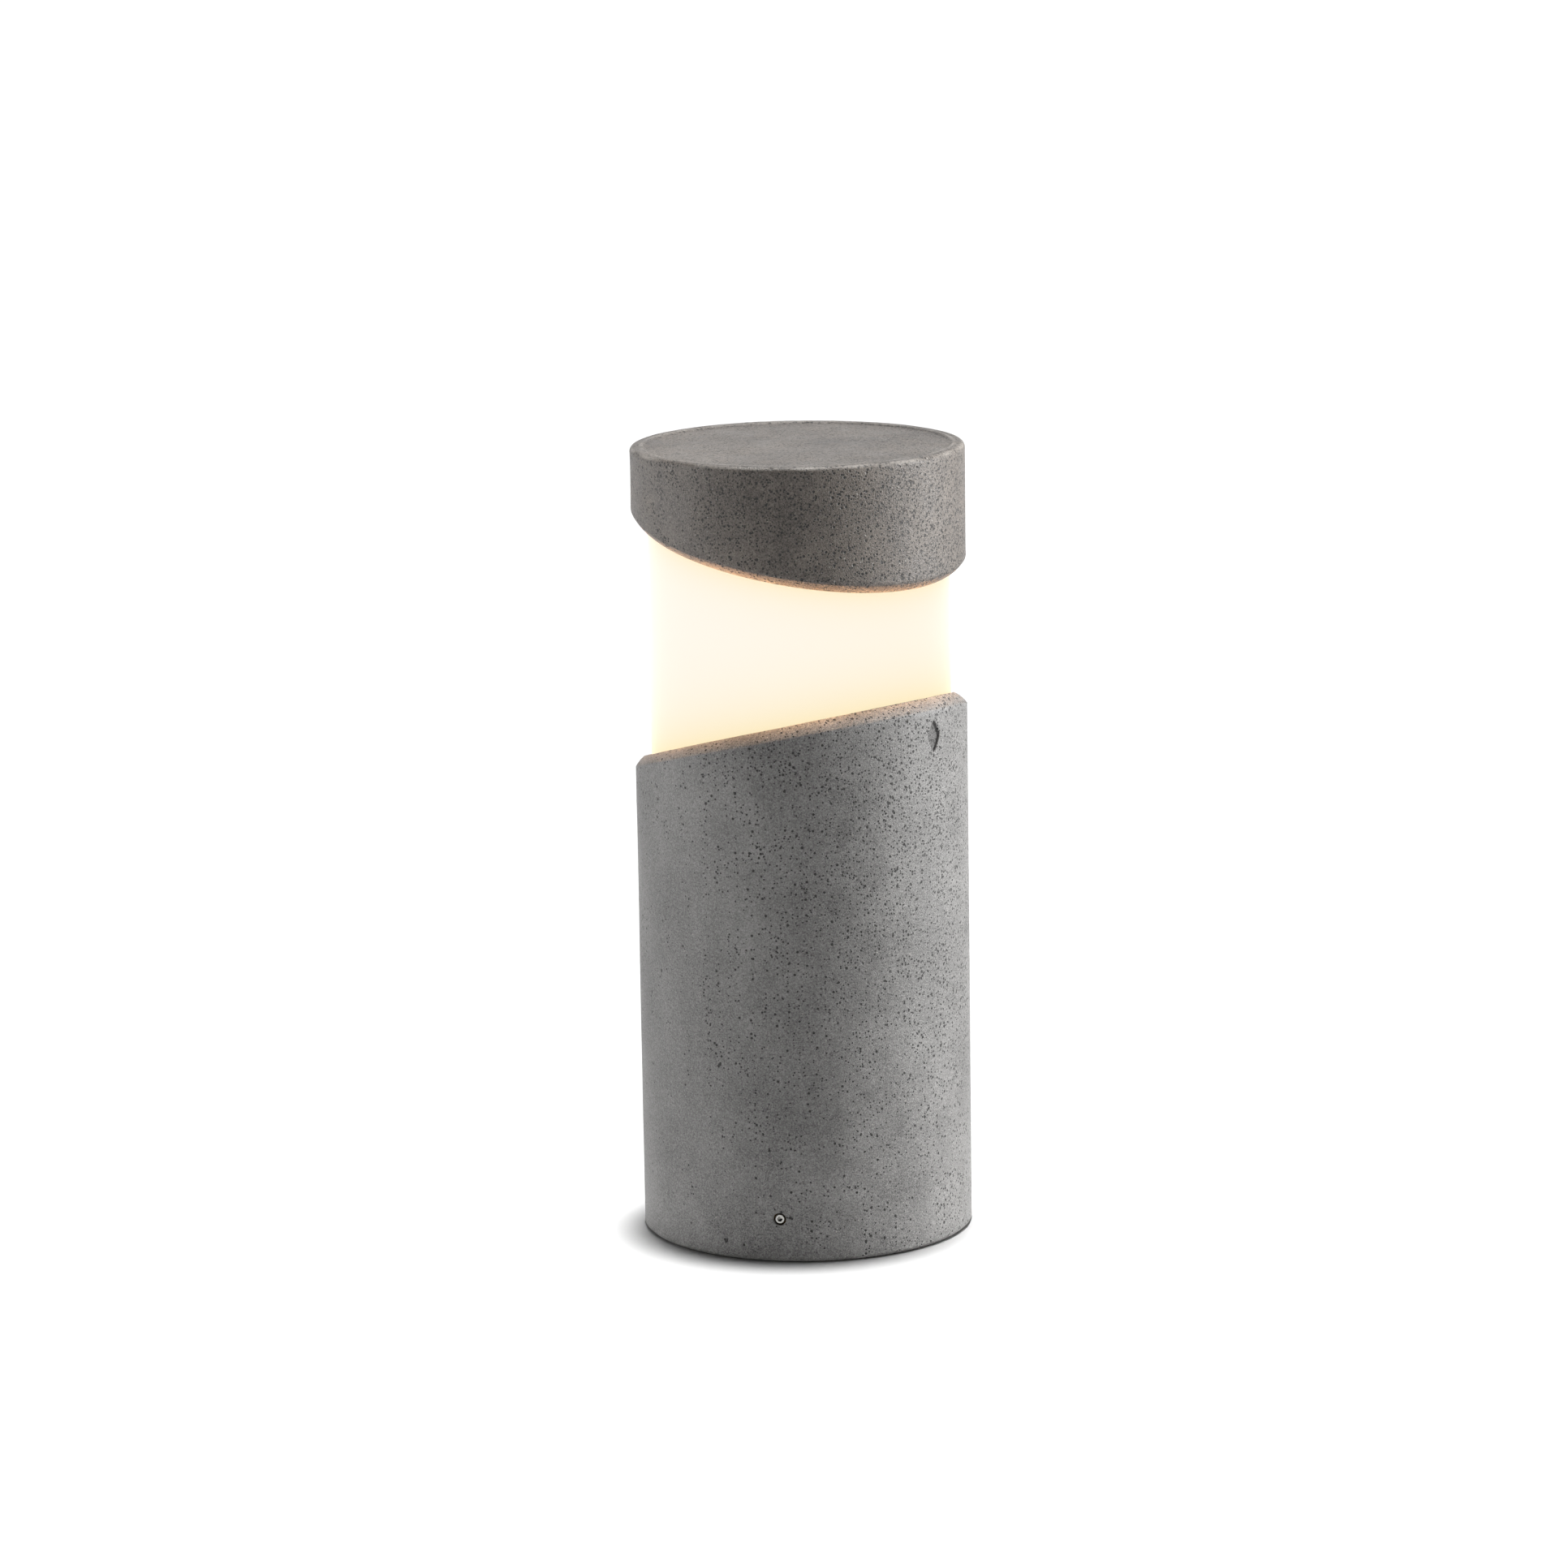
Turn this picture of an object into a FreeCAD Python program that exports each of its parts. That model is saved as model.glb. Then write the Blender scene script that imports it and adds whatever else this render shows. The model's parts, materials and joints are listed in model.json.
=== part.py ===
"""Cast concrete bollard light for a garden path, as separate named pieces.

A hollow concrete body and a concrete cap, both cut at a slant, hold an opal tube
between them. The shell stands over a ground plate and is held by three grub screws.
On the plate a bracket carries the terminal box, the lampholder and the lamp.

Millimetres, +Z up, origin on the ground at the centre of the round foot. Both slanted
cuts tilt about X, and the light opening is narrowest towards -Y.
"""

import FreeCAD
import Part
import math
import os

# Shell
OUTER_R = 83.0
TOTAL_H = 397.0
RIM_Z = 255.6            # height of the body's slanted rim on the axis
RIM_SLOPE = -0.2705      # rise per mm of Y
SOFFIT_Z = 349.5         # height of the cap's slanted underside on the axis
SOFFIT_SLOPE = 0.2277
RIM_FILLET = 5.5
SOFFIT_FILLET = 4.5
FOOT_CHAMFER = 1.8
BORE_R = 68.0            # inside of the body, over the ground plate
SEAT_Z = 203.0           # ledge in the body that the opal tube stands on
CEILING_Z = 376.0        # underside of the cap's top slab
CAP_EDGE_FILLET = 2.6
CAP_RIM_W = 5.6          # outer wall to the top of the dish
CAP_DISH_DEPTH = 1.0
CAP_DISH_BEVEL = 2.4

# Opal tube, stock size 150 x 3
TUBE_R = 75.0
TUBE_WALL = 3.0
TUBE_GAP = 0.4           # radial gap between the tube and the concrete
SEAL_T = 3.0
REFLECTOR_R = 70.0
REFLECTOR_T = 1.2
REFLECTOR_SCREW_PCR = 45.0
REFLECTOR_SCREW_ANGLES = (30.0, 150.0, 270.0)

# Recessed lozenge on the body, below the high side of the rim
LOZENGE_ANGLE = 6.6      # from -Y towards +X
LOZENGE_Z = 258.0
LOZENGE_W = 9.6
LOZENGE_H = 17.0
LOZENGE_ROUND = 1.2
LOZENGE_DEPTH = 1.2

# M5 grub screws in cast-in inserts, angles from -Y towards +X
GRUB_ANGLES = (-55.0, 65.0, 185.0)
GRUB_Z = 22.0
GRUB_R = 2.5
GRUB_LENGTH = 16.0
GRUB_TIP_GAP = 0.3       # left between the tip and the spigot
GRUB_EDGE = 0.4          # chamfer at the socket end
GRUB_CUP_R = 1.3
GRUB_CUP_DEPTH = 0.7
GRUB_SOCKET_AF = 2.5
GRUB_SOCKET_DEPTH = 3.0
INSERT_R = 4.0
INSERT_OUTER_END = 80.5  # radius at which the insert stops inside the wall
THREAD_CLEARANCE = 0.05
GRUB_HOLE_R = 3.2        # hole in the concrete outside the insert

# Ground plate
PLATE_T = 6.0
SPIGOT_R = 66.0
SPIGOT_WALL = 5.0
SPIGOT_H = 36.0
ANCHOR_PCR = 48.0
ANCHOR_ANGLES = (30.0, 150.0, 270.0)
ANCHOR_HOLE_R = 4.5
ANCHOR_BOSS_R = 9.0
ANCHOR_BOSS_H = 3.0
CABLE_Y = 16.0           # axis of the cable entry and the gland
CABLE_HOLE_R = 13.0

# Bracket, bent from 2 mm galvanised sheet
SHEET_T = 2.0
WEB_Y = 30.0             # front face of the upright
BRACKET_W = 50.0
FOOT_END_Y = 52.0
SHELF_END_Y = -24.0
SHELF_TOP_Z = 185.0
BEND_R = 2.0
SHELF_LEAD_HOLE_R = 10.0
FOOT_SCREW_X = 16.0
FOOT_SCREW_Y = 44.0

# Terminal box on the upright
BOX_W = 38.0
BOX_FRONT_Y = 2.0
BOX_Z0 = 70.0
BOX_Z1 = 126.0
BOX_WALL = 2.0
LID_T = 2.5
BOX_BOSS_R = 3.0
BOX_BOSS_INSET = 3.5
BOX_SCREW_Z = (80.0, 118.0)
BOX_SCREW_REACH = 1.0    # length of a box screw inside the box
BLOCK_W = 26.0
BLOCK_D = 11.0
BLOCK_Z0 = 87.0
BLOCK_Z1 = 109.0
POLE_X = (-8.0, 0.0, 8.0)
POLE_SCREW_INSET = 5.0
POLE_SCREW_R = 1.6
POLE_SCREW_SINK = 1.0
POLE_SLOT_W = 0.6
POLE_SLOT_DEPTH = 0.8
WIRE_HOLE_R = 1.5

# Cable gland, M16
GLAND_THREAD_R = 8.0
GLAND_AF = 20.0
GLAND_BORE_R = 6.5
GLAND_SEAL_BORE_R = 4.5
GLAND_HEX_H = 8.0
GLAND_DOME_H = 14.0
GLAND_TAIL = 12.0        # threaded length below the hexagon
GLAND_NUT_T = 4.0
GLAND_LIP_T = 3.0
GLAND_LIP_R = 5.5        # mouth of the dome nut
GLAND_NUT_GAP = 1.0      # between the hexagon and the dome nut

# Lampholder and lamp, E27
HOLDER_FLANGE_R = 24.0
HOLDER_FLANGE_H = 6.0
HOLDER_R = 21.5
HOLDER_H = 44.0
HOLDER_SOCKET_R = 14.5
HOLDER_SOCKET_FLOOR = 14.0
HOLDER_UNDER_R = 13.0
HOLDER_UNDER_H = 8.0
HOLDER_SCREW_X = 18.0
HOLDER_EDGE = 1.5
SHELL_R = 14.3
SHELL_T = 0.6
SHELL_H = 26.0
CONTACT_R = 5.0
CONTACT_SHANK_R = 2.4
CONTACT_H = 2.0
LAMP_TIP_H = 2.0
LAMP_TIP_R = 4.6
LAMP_TIP_EDGE = 1.0
LAMP_INSULATOR_H = 3.6
LAMP_INSULATOR_FOOT_R = 5.6
LAMP_INSULATOR_R = 11.4
LAMP_CREST_R = 13.2
LAMP_ROOT_R = 12.3
LAMP_PITCH = 3.62
LAMP_THREADS = 5
RIDGE_START, CREST_START, CREST_END, RIDGE_END = 0.2, 0.45, 0.7, 0.95    # shares of the pitch
LAMP_CAP_EDGE = 0.5      # taper at the start of the thread
LAMP_COLLAR_H = 1.0
LAMP_NECK_R = 13.0
LAMP_R = 30.0
LAMP_HOUSING_H = 40.0
FLARE_FOOT_R = 14.0
FLARE_LOW = (16.0, 0.3)  # radius and share of the height
FLARE_HIGH = (26.0, 0.8)
GLOBE_CROWN = 40.0
GLOBE_T = 1.5

# Leads and small hardware
LEAD_R = 1.1
LEAD_START_Z = BLOCK_Z1 - POLE_SCREW_INSET / 2
LEAD_END_GAP = 1.0       # under the roof of the lampholder
GROMMET_R = 3.4
GROMMET_FLANGE_R = 3.6
GROMMET_FLANGE_T = 1.2
EARTH_Z = 150.0
WASHER_R = 4.6
WASHER_T = 0.8
MAX_LEAD_BEND = 14.0
RUN_SHARE = 0.45         # share of the shorter run that a bend may use

# Pan-head screws
M3_R = 1.5
M3_HEAD_R = 2.8
M3_HEAD_H = 1.8
M4_R = 2.0
M4_HEAD_R = 3.6
M4_HEAD_H = 2.4
M5_R = 2.5
M5_HEAD_R = 4.6
M5_HEAD_H = 3.0
REFLECTOR_SCREW_L = 11.0
HOLDER_SCREW_DEPTH = 10.0
M3_LID_DEPTH = 8.0
END_GAP = 1.0            # from a screw's end to the bottom of its hole
EARTH_NUT_L = 2.0        # length of the earth screw behind the upright

# Shares of a pan head's height or radius
HEAD_ROUND = 0.45
CROSS_DEPTH = 0.6
CROSS_L = 1.1
CROSS_W = 0.3

EDGE_TOL = 1e-3
EDGE_SAMPLES = 7
UP = FreeCAD.Vector(0, 0, 1)
AXIS = FreeCAD.Vector(0, 0, 0)


def vec(x, y, z):
    return FreeCAD.Vector(x, y, z)


def cylinder(radius, z0, z1, x=0.0, y=0.0):
    return Part.makeCylinder(radius, z1 - z0, vec(x, y, z0))


def tube(outer, inner, z0, z1, x=0.0, y=0.0):
    return cylinder(outer, z0, z1, x, y).cut(cylinder(inner, z0, z1, x, y))


def block(x0, x1, y0, y1, z0, z1):
    return Part.makeBox(x1 - x0, y1 - y0, z1 - z0, vec(x0, y0, z0))


def hexagon(across_flats, z0, z1, x=0.0, y=0.0):
    corner_r = across_flats / math.sqrt(3)
    corners = [vec(x + corner_r * math.cos(math.pi / 3 * i), y + corner_r * math.sin(math.pi / 3 * i), z0)
               for i in range(6)]
    face = Part.Face(Part.makePolygon(corners + corners[:1]))
    return face.extrude(vec(0, 0, z1 - z0))


def turned(profile):
    """Solid of revolution about Z from (radius, z) points."""
    points = [vec(r, 0, z) for r, z in profile]
    face = Part.Face(Part.makePolygon(points + points[:1]))
    return face.revolve(AXIS, UP, 360)


def place(shape, position, direction):
    """Carry a shape made at the origin along +Z to a position and direction."""
    copy = shape.copy()
    copy.Placement = FreeCAD.Placement(position, FreeCAD.Rotation(UP, direction))
    return copy


def on_circle(radius, angle, z):
    """Point at an angle from +X towards +Y."""
    turn = math.radians(angle)
    return vec(radius * math.cos(turn), radius * math.sin(turn), z)


def outward(angle):
    """Level direction at an angle from -Y towards +X."""
    turn = math.radians(angle)
    return vec(math.sin(turn), -math.cos(turn), 0)


def screw(shank_r, length, head_r, head_h):
    """Pan-head screw with a cross recess; the head's seat is at the origin, shank along -Z."""
    head = Part.makeCylinder(head_r, head_h)
    rim = [edge for edge in head.Edges if abs(edge.BoundBox.ZMin - head_h) < EDGE_TOL]
    head = head.makeFillet(head_h * HEAD_ROUND, rim)
    half_w = head_r * CROSS_W / 2
    half_l = head_r * CROSS_L / 2
    floor = head_h * (1 - CROSS_DEPTH)
    recess = block(-half_l, half_l, -half_w, half_w, floor, head_h)
    recess = recess.fuse(block(-half_w, half_w, -half_l, half_l, floor, head_h))
    shank = Part.makeCylinder(shank_r, length, vec(0, 0, -length))
    return head.cut(recess).fuse(shank).removeSplitter()


def slanted_block(z_axis, slope, far_z):
    """Everything between the plane z = z_axis + slope * y and the level far_z."""
    reach = 2 * OUTER_R
    outline = [(-reach, z_axis - slope * reach), (reach, z_axis + slope * reach),
               (reach, far_z), (-reach, far_z)]
    points = [vec(-reach, y, z) for y, z in outline]
    face = Part.Face(Part.makePolygon(points + points[:1]))
    return face.extrude(vec(2 * reach, 0, 0))


def outer_edges(shape, z_axis, slope):
    """Edges of the outer wall that lie in the plane z = z_axis + slope * y."""
    found = []
    for edge in shape.Edges:
        points = edge.discretize(EDGE_SAMPLES)
        on_wall = all(abs(math.hypot(p.x, p.y) - OUTER_R) < EDGE_TOL for p in points)
        on_plane = all(abs(p.z - z_axis - slope * p.y) < EDGE_TOL for p in points)
        if on_wall and on_plane:
            found.append(edge)
    return found


def lozenge_recess():
    """Upright lozenge prism with rounded corners that reaches LOZENGE_DEPTH into the wall."""
    corners = [(0, LOZENGE_H / 2), (LOZENGE_W / 2, 0), (0, -LOZENGE_H / 2), (-LOZENGE_W / 2, 0)]
    points = [vec(x, y, 0) for x, y in corners]
    prism = Part.Face(Part.makePolygon(points + points[:1])).extrude(vec(0, 0, 2 * LOZENGE_DEPTH))
    uprights = [edge for edge in prism.Edges if edge.BoundBox.ZLength > LOZENGE_DEPTH]
    prism = prism.makeFillet(LOZENGE_ROUND, uprights)
    tilt = FreeCAD.Rotation(vec(1, 0, 0), 90)
    turn = FreeCAD.Rotation(UP, LOZENGE_ANGLE)
    floor = outward(LOZENGE_ANGLE) * (OUTER_R - LOZENGE_DEPTH)
    prism.Placement = FreeCAD.Placement(vec(floor.x, floor.y, LOZENGE_Z), turn.multiply(tilt))
    return prism


def lower_housing():
    body = Part.makeCylinder(OUTER_R, TOTAL_H)
    body = body.cut(slanted_block(RIM_Z, RIM_SLOPE, 2 * TOTAL_H))
    body = body.makeFillet(RIM_FILLET, outer_edges(body, RIM_Z, RIM_SLOPE))
    body = body.makeChamfer(FOOT_CHAMFER, outer_edges(body, 0, 0))
    body = body.cut(cylinder(BORE_R, 0, SEAT_Z))
    body = body.cut(cylinder(TUBE_R + TUBE_GAP, SEAT_Z, TOTAL_H))
    for angle in GRUB_ANGLES:
        way = outward(angle)
        insert_start = vec(0, 0, GRUB_Z) + way * SPIGOT_R
        body = body.cut(Part.makeCylinder(INSERT_R, INSERT_OUTER_END - SPIGOT_R, insert_start, way))
        body = body.cut(Part.makeCylinder(GRUB_HOLE_R, OUTER_R, insert_start, way))
    return body.cut(lozenge_recess())


def screw_inserts():
    inserts = []
    for angle in GRUB_ANGLES:
        way = outward(angle)
        start = vec(0, 0, GRUB_Z) + way * (BORE_R + TUBE_GAP)
        length = INSERT_OUTER_END - BORE_R - TUBE_GAP
        sleeve = Part.makeCylinder(INSERT_R, length, start, way)
        thread = Part.makeCylinder(GRUB_R + THREAD_CLEARANCE, length, start, way)
        inserts.append(sleeve.cut(thread))
    return Part.makeCompound(inserts)


def grub_screw(angle):
    """Hex-socket screw with a cup point; made along +Z with its tip at the origin."""
    body = turned([(0, 0), (GRUB_R - GRUB_EDGE, 0), (GRUB_R, GRUB_EDGE),
                   (GRUB_R, GRUB_LENGTH - GRUB_EDGE), (GRUB_R - GRUB_EDGE, GRUB_LENGTH),
                   (0, GRUB_LENGTH)])
    body = body.cut(Part.makeCone(GRUB_CUP_R, 0, GRUB_CUP_DEPTH))
    body = body.cut(hexagon(GRUB_SOCKET_AF, GRUB_LENGTH - GRUB_SOCKET_DEPTH, GRUB_LENGTH))
    way = outward(angle)
    return place(body, vec(0, 0, GRUB_Z) + way * (SPIGOT_R + GRUB_TIP_GAP), way)


def cap():
    body = Part.makeCylinder(OUTER_R, TOTAL_H)
    body = body.cut(slanted_block(SOFFIT_Z, SOFFIT_SLOPE, -TOTAL_H))
    body = body.makeFillet(SOFFIT_FILLET, outer_edges(body, SOFFIT_Z, SOFFIT_SLOPE))
    body = body.makeFillet(CAP_EDGE_FILLET, outer_edges(body, TOTAL_H, 0))
    dish_r = OUTER_R - CAP_RIM_W
    dish_floor = vec(0, 0, TOTAL_H - CAP_DISH_DEPTH)
    dish = Part.makeCone(dish_r - CAP_DISH_BEVEL, dish_r, CAP_DISH_DEPTH, dish_floor)
    body = body.cut(dish)
    body = body.cut(cylinder(TUBE_R + TUBE_GAP, 0, CEILING_Z))
    for angle in REFLECTOR_SCREW_ANGLES:
        spot = on_circle(REFLECTOR_SCREW_PCR, angle, CEILING_Z)
        body = body.cut(Part.makeCylinder(M4_R, REFLECTOR_SCREW_L, spot))
    return body


def cap_reflector():
    z0 = CEILING_Z - REFLECTOR_T
    disc = cylinder(REFLECTOR_R, z0, CEILING_Z)
    for angle in REFLECTOR_SCREW_ANGLES:
        spot = on_circle(REFLECTOR_SCREW_PCR, angle, z0)
        disc = disc.cut(Part.makeCylinder(M4_R, REFLECTOR_T, spot))
    return disc


def reflector_screws():
    one = screw(M4_R, REFLECTOR_SCREW_L, M4_HEAD_R, M4_HEAD_H)
    z0 = CEILING_Z - REFLECTOR_T
    return Part.makeCompound([place(one, on_circle(REFLECTOR_SCREW_PCR, angle, z0), vec(0, 0, -1))
                              for angle in REFLECTOR_SCREW_ANGLES])


def diffuser():
    return tube(TUBE_R, TUBE_R - TUBE_WALL, SEAT_Z + SEAL_T, CEILING_Z - SEAL_T)


def diffuser_seal(z0):
    return tube(TUBE_R, TUBE_R - TUBE_WALL, z0, z0 + SEAL_T)


def base_plate():
    plate = cylinder(SPIGOT_R, 0, SPIGOT_H)
    plate = plate.cut(cylinder(SPIGOT_R - SPIGOT_WALL, PLATE_T, SPIGOT_H))
    for angle in ANCHOR_ANGLES:
        spot = on_circle(ANCHOR_PCR, angle, 0)
        plate = plate.fuse(cylinder(ANCHOR_BOSS_R, 0, PLATE_T + ANCHOR_BOSS_H, spot.x, spot.y))
        plate = plate.cut(cylinder(ANCHOR_HOLE_R, 0, SPIGOT_H, spot.x, spot.y))
    plate = plate.cut(cylinder(CABLE_HOLE_R, 0, PLATE_T, 0, CABLE_Y))
    for x in (-FOOT_SCREW_X, FOOT_SCREW_X):
        plate = plate.cut(cylinder(M5_R, 0, PLATE_T, x, FOOT_SCREW_Y))
    return plate.removeSplitter()


def gear_bracket():
    """Foot, upright and shelf in one bent strip."""
    foot_top = PLATE_T + SHEET_T
    web_back = WEB_Y + SHEET_T
    shelf_under = SHELF_TOP_Z - SHEET_T
    outline = [(FOOT_END_Y, PLATE_T), (WEB_Y, PLATE_T), (WEB_Y, shelf_under), (SHELF_END_Y, shelf_under),
               (SHELF_END_Y, SHELF_TOP_Z), (web_back, SHELF_TOP_Z), (web_back, foot_top),
               (FOOT_END_Y, foot_top)]
    points = [vec(-BRACKET_W / 2, y, z) for y, z in outline]
    strip = Part.Face(Part.makePolygon(points + points[:1])).extrude(vec(BRACKET_W, 0, 0))
    bends = {(WEB_Y, PLATE_T): BEND_R + SHEET_T, (web_back, foot_top): BEND_R,
             (WEB_Y, shelf_under): BEND_R, (web_back, SHELF_TOP_Z): BEND_R + SHEET_T}
    for (y, z), radius in bends.items():
        edges = [edge for edge in strip.Edges if edge.BoundBox.XLength > BRACKET_W - 1
                 and abs(edge.CenterOfMass.y - y) < EDGE_TOL and abs(edge.CenterOfMass.z - z) < EDGE_TOL]
        strip = strip.makeFillet(radius, edges)
    strip = strip.cut(cylinder(SHELF_LEAD_HOLE_R, shelf_under, SHELF_TOP_Z))
    for side in (-1, 1):
        strip = strip.cut(cylinder(M4_R, shelf_under, SHELF_TOP_Z, side * HOLDER_SCREW_X))
        strip = strip.cut(cylinder(M5_R, PLATE_T, foot_top, side * FOOT_SCREW_X, FOOT_SCREW_Y))
    back = vec(0, 1, 0)
    for z in BOX_SCREW_Z:
        strip = strip.cut(Part.makeCylinder(M3_R, SHEET_T, vec(0, WEB_Y, z), back))
    return strip.cut(Part.makeCylinder(M4_R, SHEET_T, vec(0, WEB_Y, EARTH_Z), back))


def bracket_screws():
    one = screw(M5_R, SHEET_T + PLATE_T - END_GAP, M5_HEAD_R, M5_HEAD_H)
    return Part.makeCompound([place(one, vec(side * FOOT_SCREW_X, FOOT_SCREW_Y, PLATE_T + SHEET_T), UP)
                              for side in (-1, 1)])


def lid_screw_spots():
    x = BOX_W / 2 - BOX_BOSS_INSET
    return [(x, BOX_Z1 - BOX_BOSS_INSET), (-x, BOX_Z0 + BOX_BOSS_INSET)]


def terminal_box():
    half = BOX_W / 2
    box = block(-half, half, BOX_FRONT_Y, WEB_Y, BOX_Z0, BOX_Z1)
    box = box.cut(block(-half + BOX_WALL, half - BOX_WALL, BOX_FRONT_Y, WEB_Y - BOX_WALL,
                        BOX_Z0 + BOX_WALL, BOX_Z1 - BOX_WALL))
    depth = WEB_Y - BOX_FRONT_Y
    back = vec(0, 1, 0)
    for x, z in lid_screw_spots():
        box = box.fuse(Part.makeCylinder(BOX_BOSS_R, depth, vec(x, BOX_FRONT_Y, z), back))
        box = box.cut(Part.makeCylinder(M3_R, M3_LID_DEPTH, vec(x, BOX_FRONT_Y, z), back))
    box = box.cut(cylinder(GLAND_THREAD_R, BOX_Z0, BOX_Z0 + BOX_WALL, 0, CABLE_Y))
    for x in POLE_X:
        box = box.cut(cylinder(GROMMET_R, BOX_Z1 - BOX_WALL, BOX_Z1, x, lead_y()))
    for z in BOX_SCREW_Z:
        box = box.cut(Part.makeCylinder(M3_R, BOX_WALL, vec(0, WEB_Y - BOX_WALL, z), back))
    return box.removeSplitter()


def lead_y():
    return WEB_Y - BOX_WALL - BLOCK_D / 2


def terminal_box_lid():
    half = BOX_W / 2
    lid = block(-half, half, BOX_FRONT_Y - LID_T, BOX_FRONT_Y, BOX_Z0, BOX_Z1)
    uprights = [edge for edge in lid.Edges if edge.BoundBox.YLength > LID_T - EDGE_TOL
                and edge.BoundBox.XLength < EDGE_TOL]
    lid = lid.makeFillet(BOX_WALL, uprights)
    for x, z in lid_screw_spots():
        lid = lid.cut(Part.makeCylinder(M3_R, LID_T, vec(x, BOX_FRONT_Y - LID_T, z), vec(0, 1, 0)))
    return lid


def box_lid_screws():
    one = screw(M3_R, LID_T + M3_LID_DEPTH - END_GAP, M3_HEAD_R, M3_HEAD_H)
    return Part.makeCompound([place(one, vec(x, BOX_FRONT_Y - LID_T, z), vec(0, -1, 0))
                              for x, z in lid_screw_spots()])


def box_screws():
    one = screw(M3_R, SHEET_T + BOX_WALL + BOX_SCREW_REACH, M3_HEAD_R, M3_HEAD_H)
    return Part.makeCompound([place(one, vec(0, WEB_Y + SHEET_T, z), vec(0, 1, 0)) for z in BOX_SCREW_Z])


def pole_screw_spots():
    return [(x, z) for x in POLE_X for z in (BLOCK_Z0 + POLE_SCREW_INSET, BLOCK_Z1 - POLE_SCREW_INSET)]


def terminal_block():
    back_y = WEB_Y - BOX_WALL
    body = block(-BLOCK_W / 2, BLOCK_W / 2, back_y - BLOCK_D, back_y, BLOCK_Z0, BLOCK_Z1)
    for x in POLE_X:
        body = body.cut(cylinder(WIRE_HOLE_R, BLOCK_Z0, BLOCK_Z1, x, lead_y()))
    for x, z in pole_screw_spots():
        spot = vec(x, back_y - BLOCK_D, z)
        body = body.cut(Part.makeCylinder(POLE_SCREW_R, BLOCK_D / 2, spot, vec(0, 1, 0)))
    return body


def terminal_screws():
    """Slotted screws sunk in the block, one at each end of each pole."""
    length = BLOCK_D / 2 - WIRE_HOLE_R - POLE_SCREW_SINK
    body = Part.makeCylinder(POLE_SCREW_R, length)
    body = body.cut(block(-POLE_SCREW_R, POLE_SCREW_R, -POLE_SLOT_W / 2, POLE_SLOT_W / 2,
                          length - POLE_SLOT_DEPTH, length))
    seat_y = lead_y() - WIRE_HOLE_R
    return Part.makeCompound([place(body, vec(x, seat_y, z), vec(0, -1, 0)) for x, z in pole_screw_spots()])


def gland_body():
    body = hexagon(GLAND_AF, BOX_Z0 - GLAND_HEX_H, BOX_Z0, 0, CABLE_Y)
    thread_z0 = BOX_Z0 - GLAND_HEX_H - GLAND_TAIL
    thread_z1 = BOX_Z0 + BOX_WALL + GLAND_NUT_T
    body = body.fuse(cylinder(GLAND_THREAD_R, thread_z0, thread_z1, 0, CABLE_Y))
    return body.cut(cylinder(GLAND_BORE_R, 0, BOX_Z1, 0, CABLE_Y)).removeSplitter()


def gland_locknut():
    z0 = BOX_Z0 + BOX_WALL
    nut = hexagon(GLAND_AF, z0, z0 + GLAND_NUT_T, 0, CABLE_Y)
    return nut.cut(cylinder(GLAND_THREAD_R, z0, z0 + GLAND_NUT_T, 0, CABLE_Y))


def gland_dome_nut():
    z1 = BOX_Z0 - GLAND_HEX_H - GLAND_NUT_GAP
    z0 = z1 - GLAND_DOME_H
    nut = hexagon(GLAND_AF, z0, z1, 0, CABLE_Y)
    corner_r = GLAND_AF / math.sqrt(3)
    dome = cylinder(corner_r, z0, z1, 0, CABLE_Y)
    lower_rim = [edge for edge in dome.Edges if abs(edge.BoundBox.ZMax - z0) < EDGE_TOL]
    nut = nut.common(dome.makeFillet(GLAND_LIP_T, lower_rim))
    nut = nut.cut(cylinder(GLAND_THREAD_R, z0 + GLAND_LIP_T, z1, 0, CABLE_Y))
    return nut.cut(cylinder(GLAND_LIP_R, z0, z1, 0, CABLE_Y))


def gland_seal():
    z0 = BOX_Z0 - GLAND_HEX_H - GLAND_TAIL
    return tube(GLAND_BORE_R, GLAND_SEAL_BORE_R, z0, z0 + GLAND_DOME_H, 0, CABLE_Y)


def lampholder_body():
    z0 = SHELF_TOP_Z
    flange_top = z0 + HOLDER_FLANGE_H
    mouth = z0 + HOLDER_H
    body = turned([(0, z0), (HOLDER_FLANGE_R, z0), (HOLDER_FLANGE_R, flange_top - HOLDER_EDGE),
                   (HOLDER_FLANGE_R - HOLDER_EDGE, flange_top), (HOLDER_R, flange_top),
                   (HOLDER_R, mouth - HOLDER_EDGE), (HOLDER_R - HOLDER_EDGE, mouth), (0, mouth)])
    body = body.cut(cylinder(HOLDER_SOCKET_R, z0 + HOLDER_SOCKET_FLOOR, mouth))
    body = body.cut(cylinder(HOLDER_UNDER_R, z0, z0 + HOLDER_UNDER_H))
    body = body.cut(cylinder(CONTACT_SHANK_R, z0, mouth))
    for side in (-1, 1):
        body = body.cut(cylinder(M4_R, z0, z0 + HOLDER_SCREW_DEPTH, side * HOLDER_SCREW_X))
    return body


def lampholder_shell():
    z0 = SHELF_TOP_Z + HOLDER_SOCKET_FLOOR
    return tube(SHELL_R, SHELL_R - SHELL_T, z0, z0 + SHELL_H)


def lampholder_contact():
    floor = SHELF_TOP_Z + HOLDER_SOCKET_FLOOR
    head = cylinder(CONTACT_R, floor, floor + CONTACT_H)
    shank_z0 = SHELF_TOP_Z + HOLDER_UNDER_H - CONTACT_H
    return head.fuse(cylinder(CONTACT_SHANK_R, shank_z0, floor)).removeSplitter()


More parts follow.
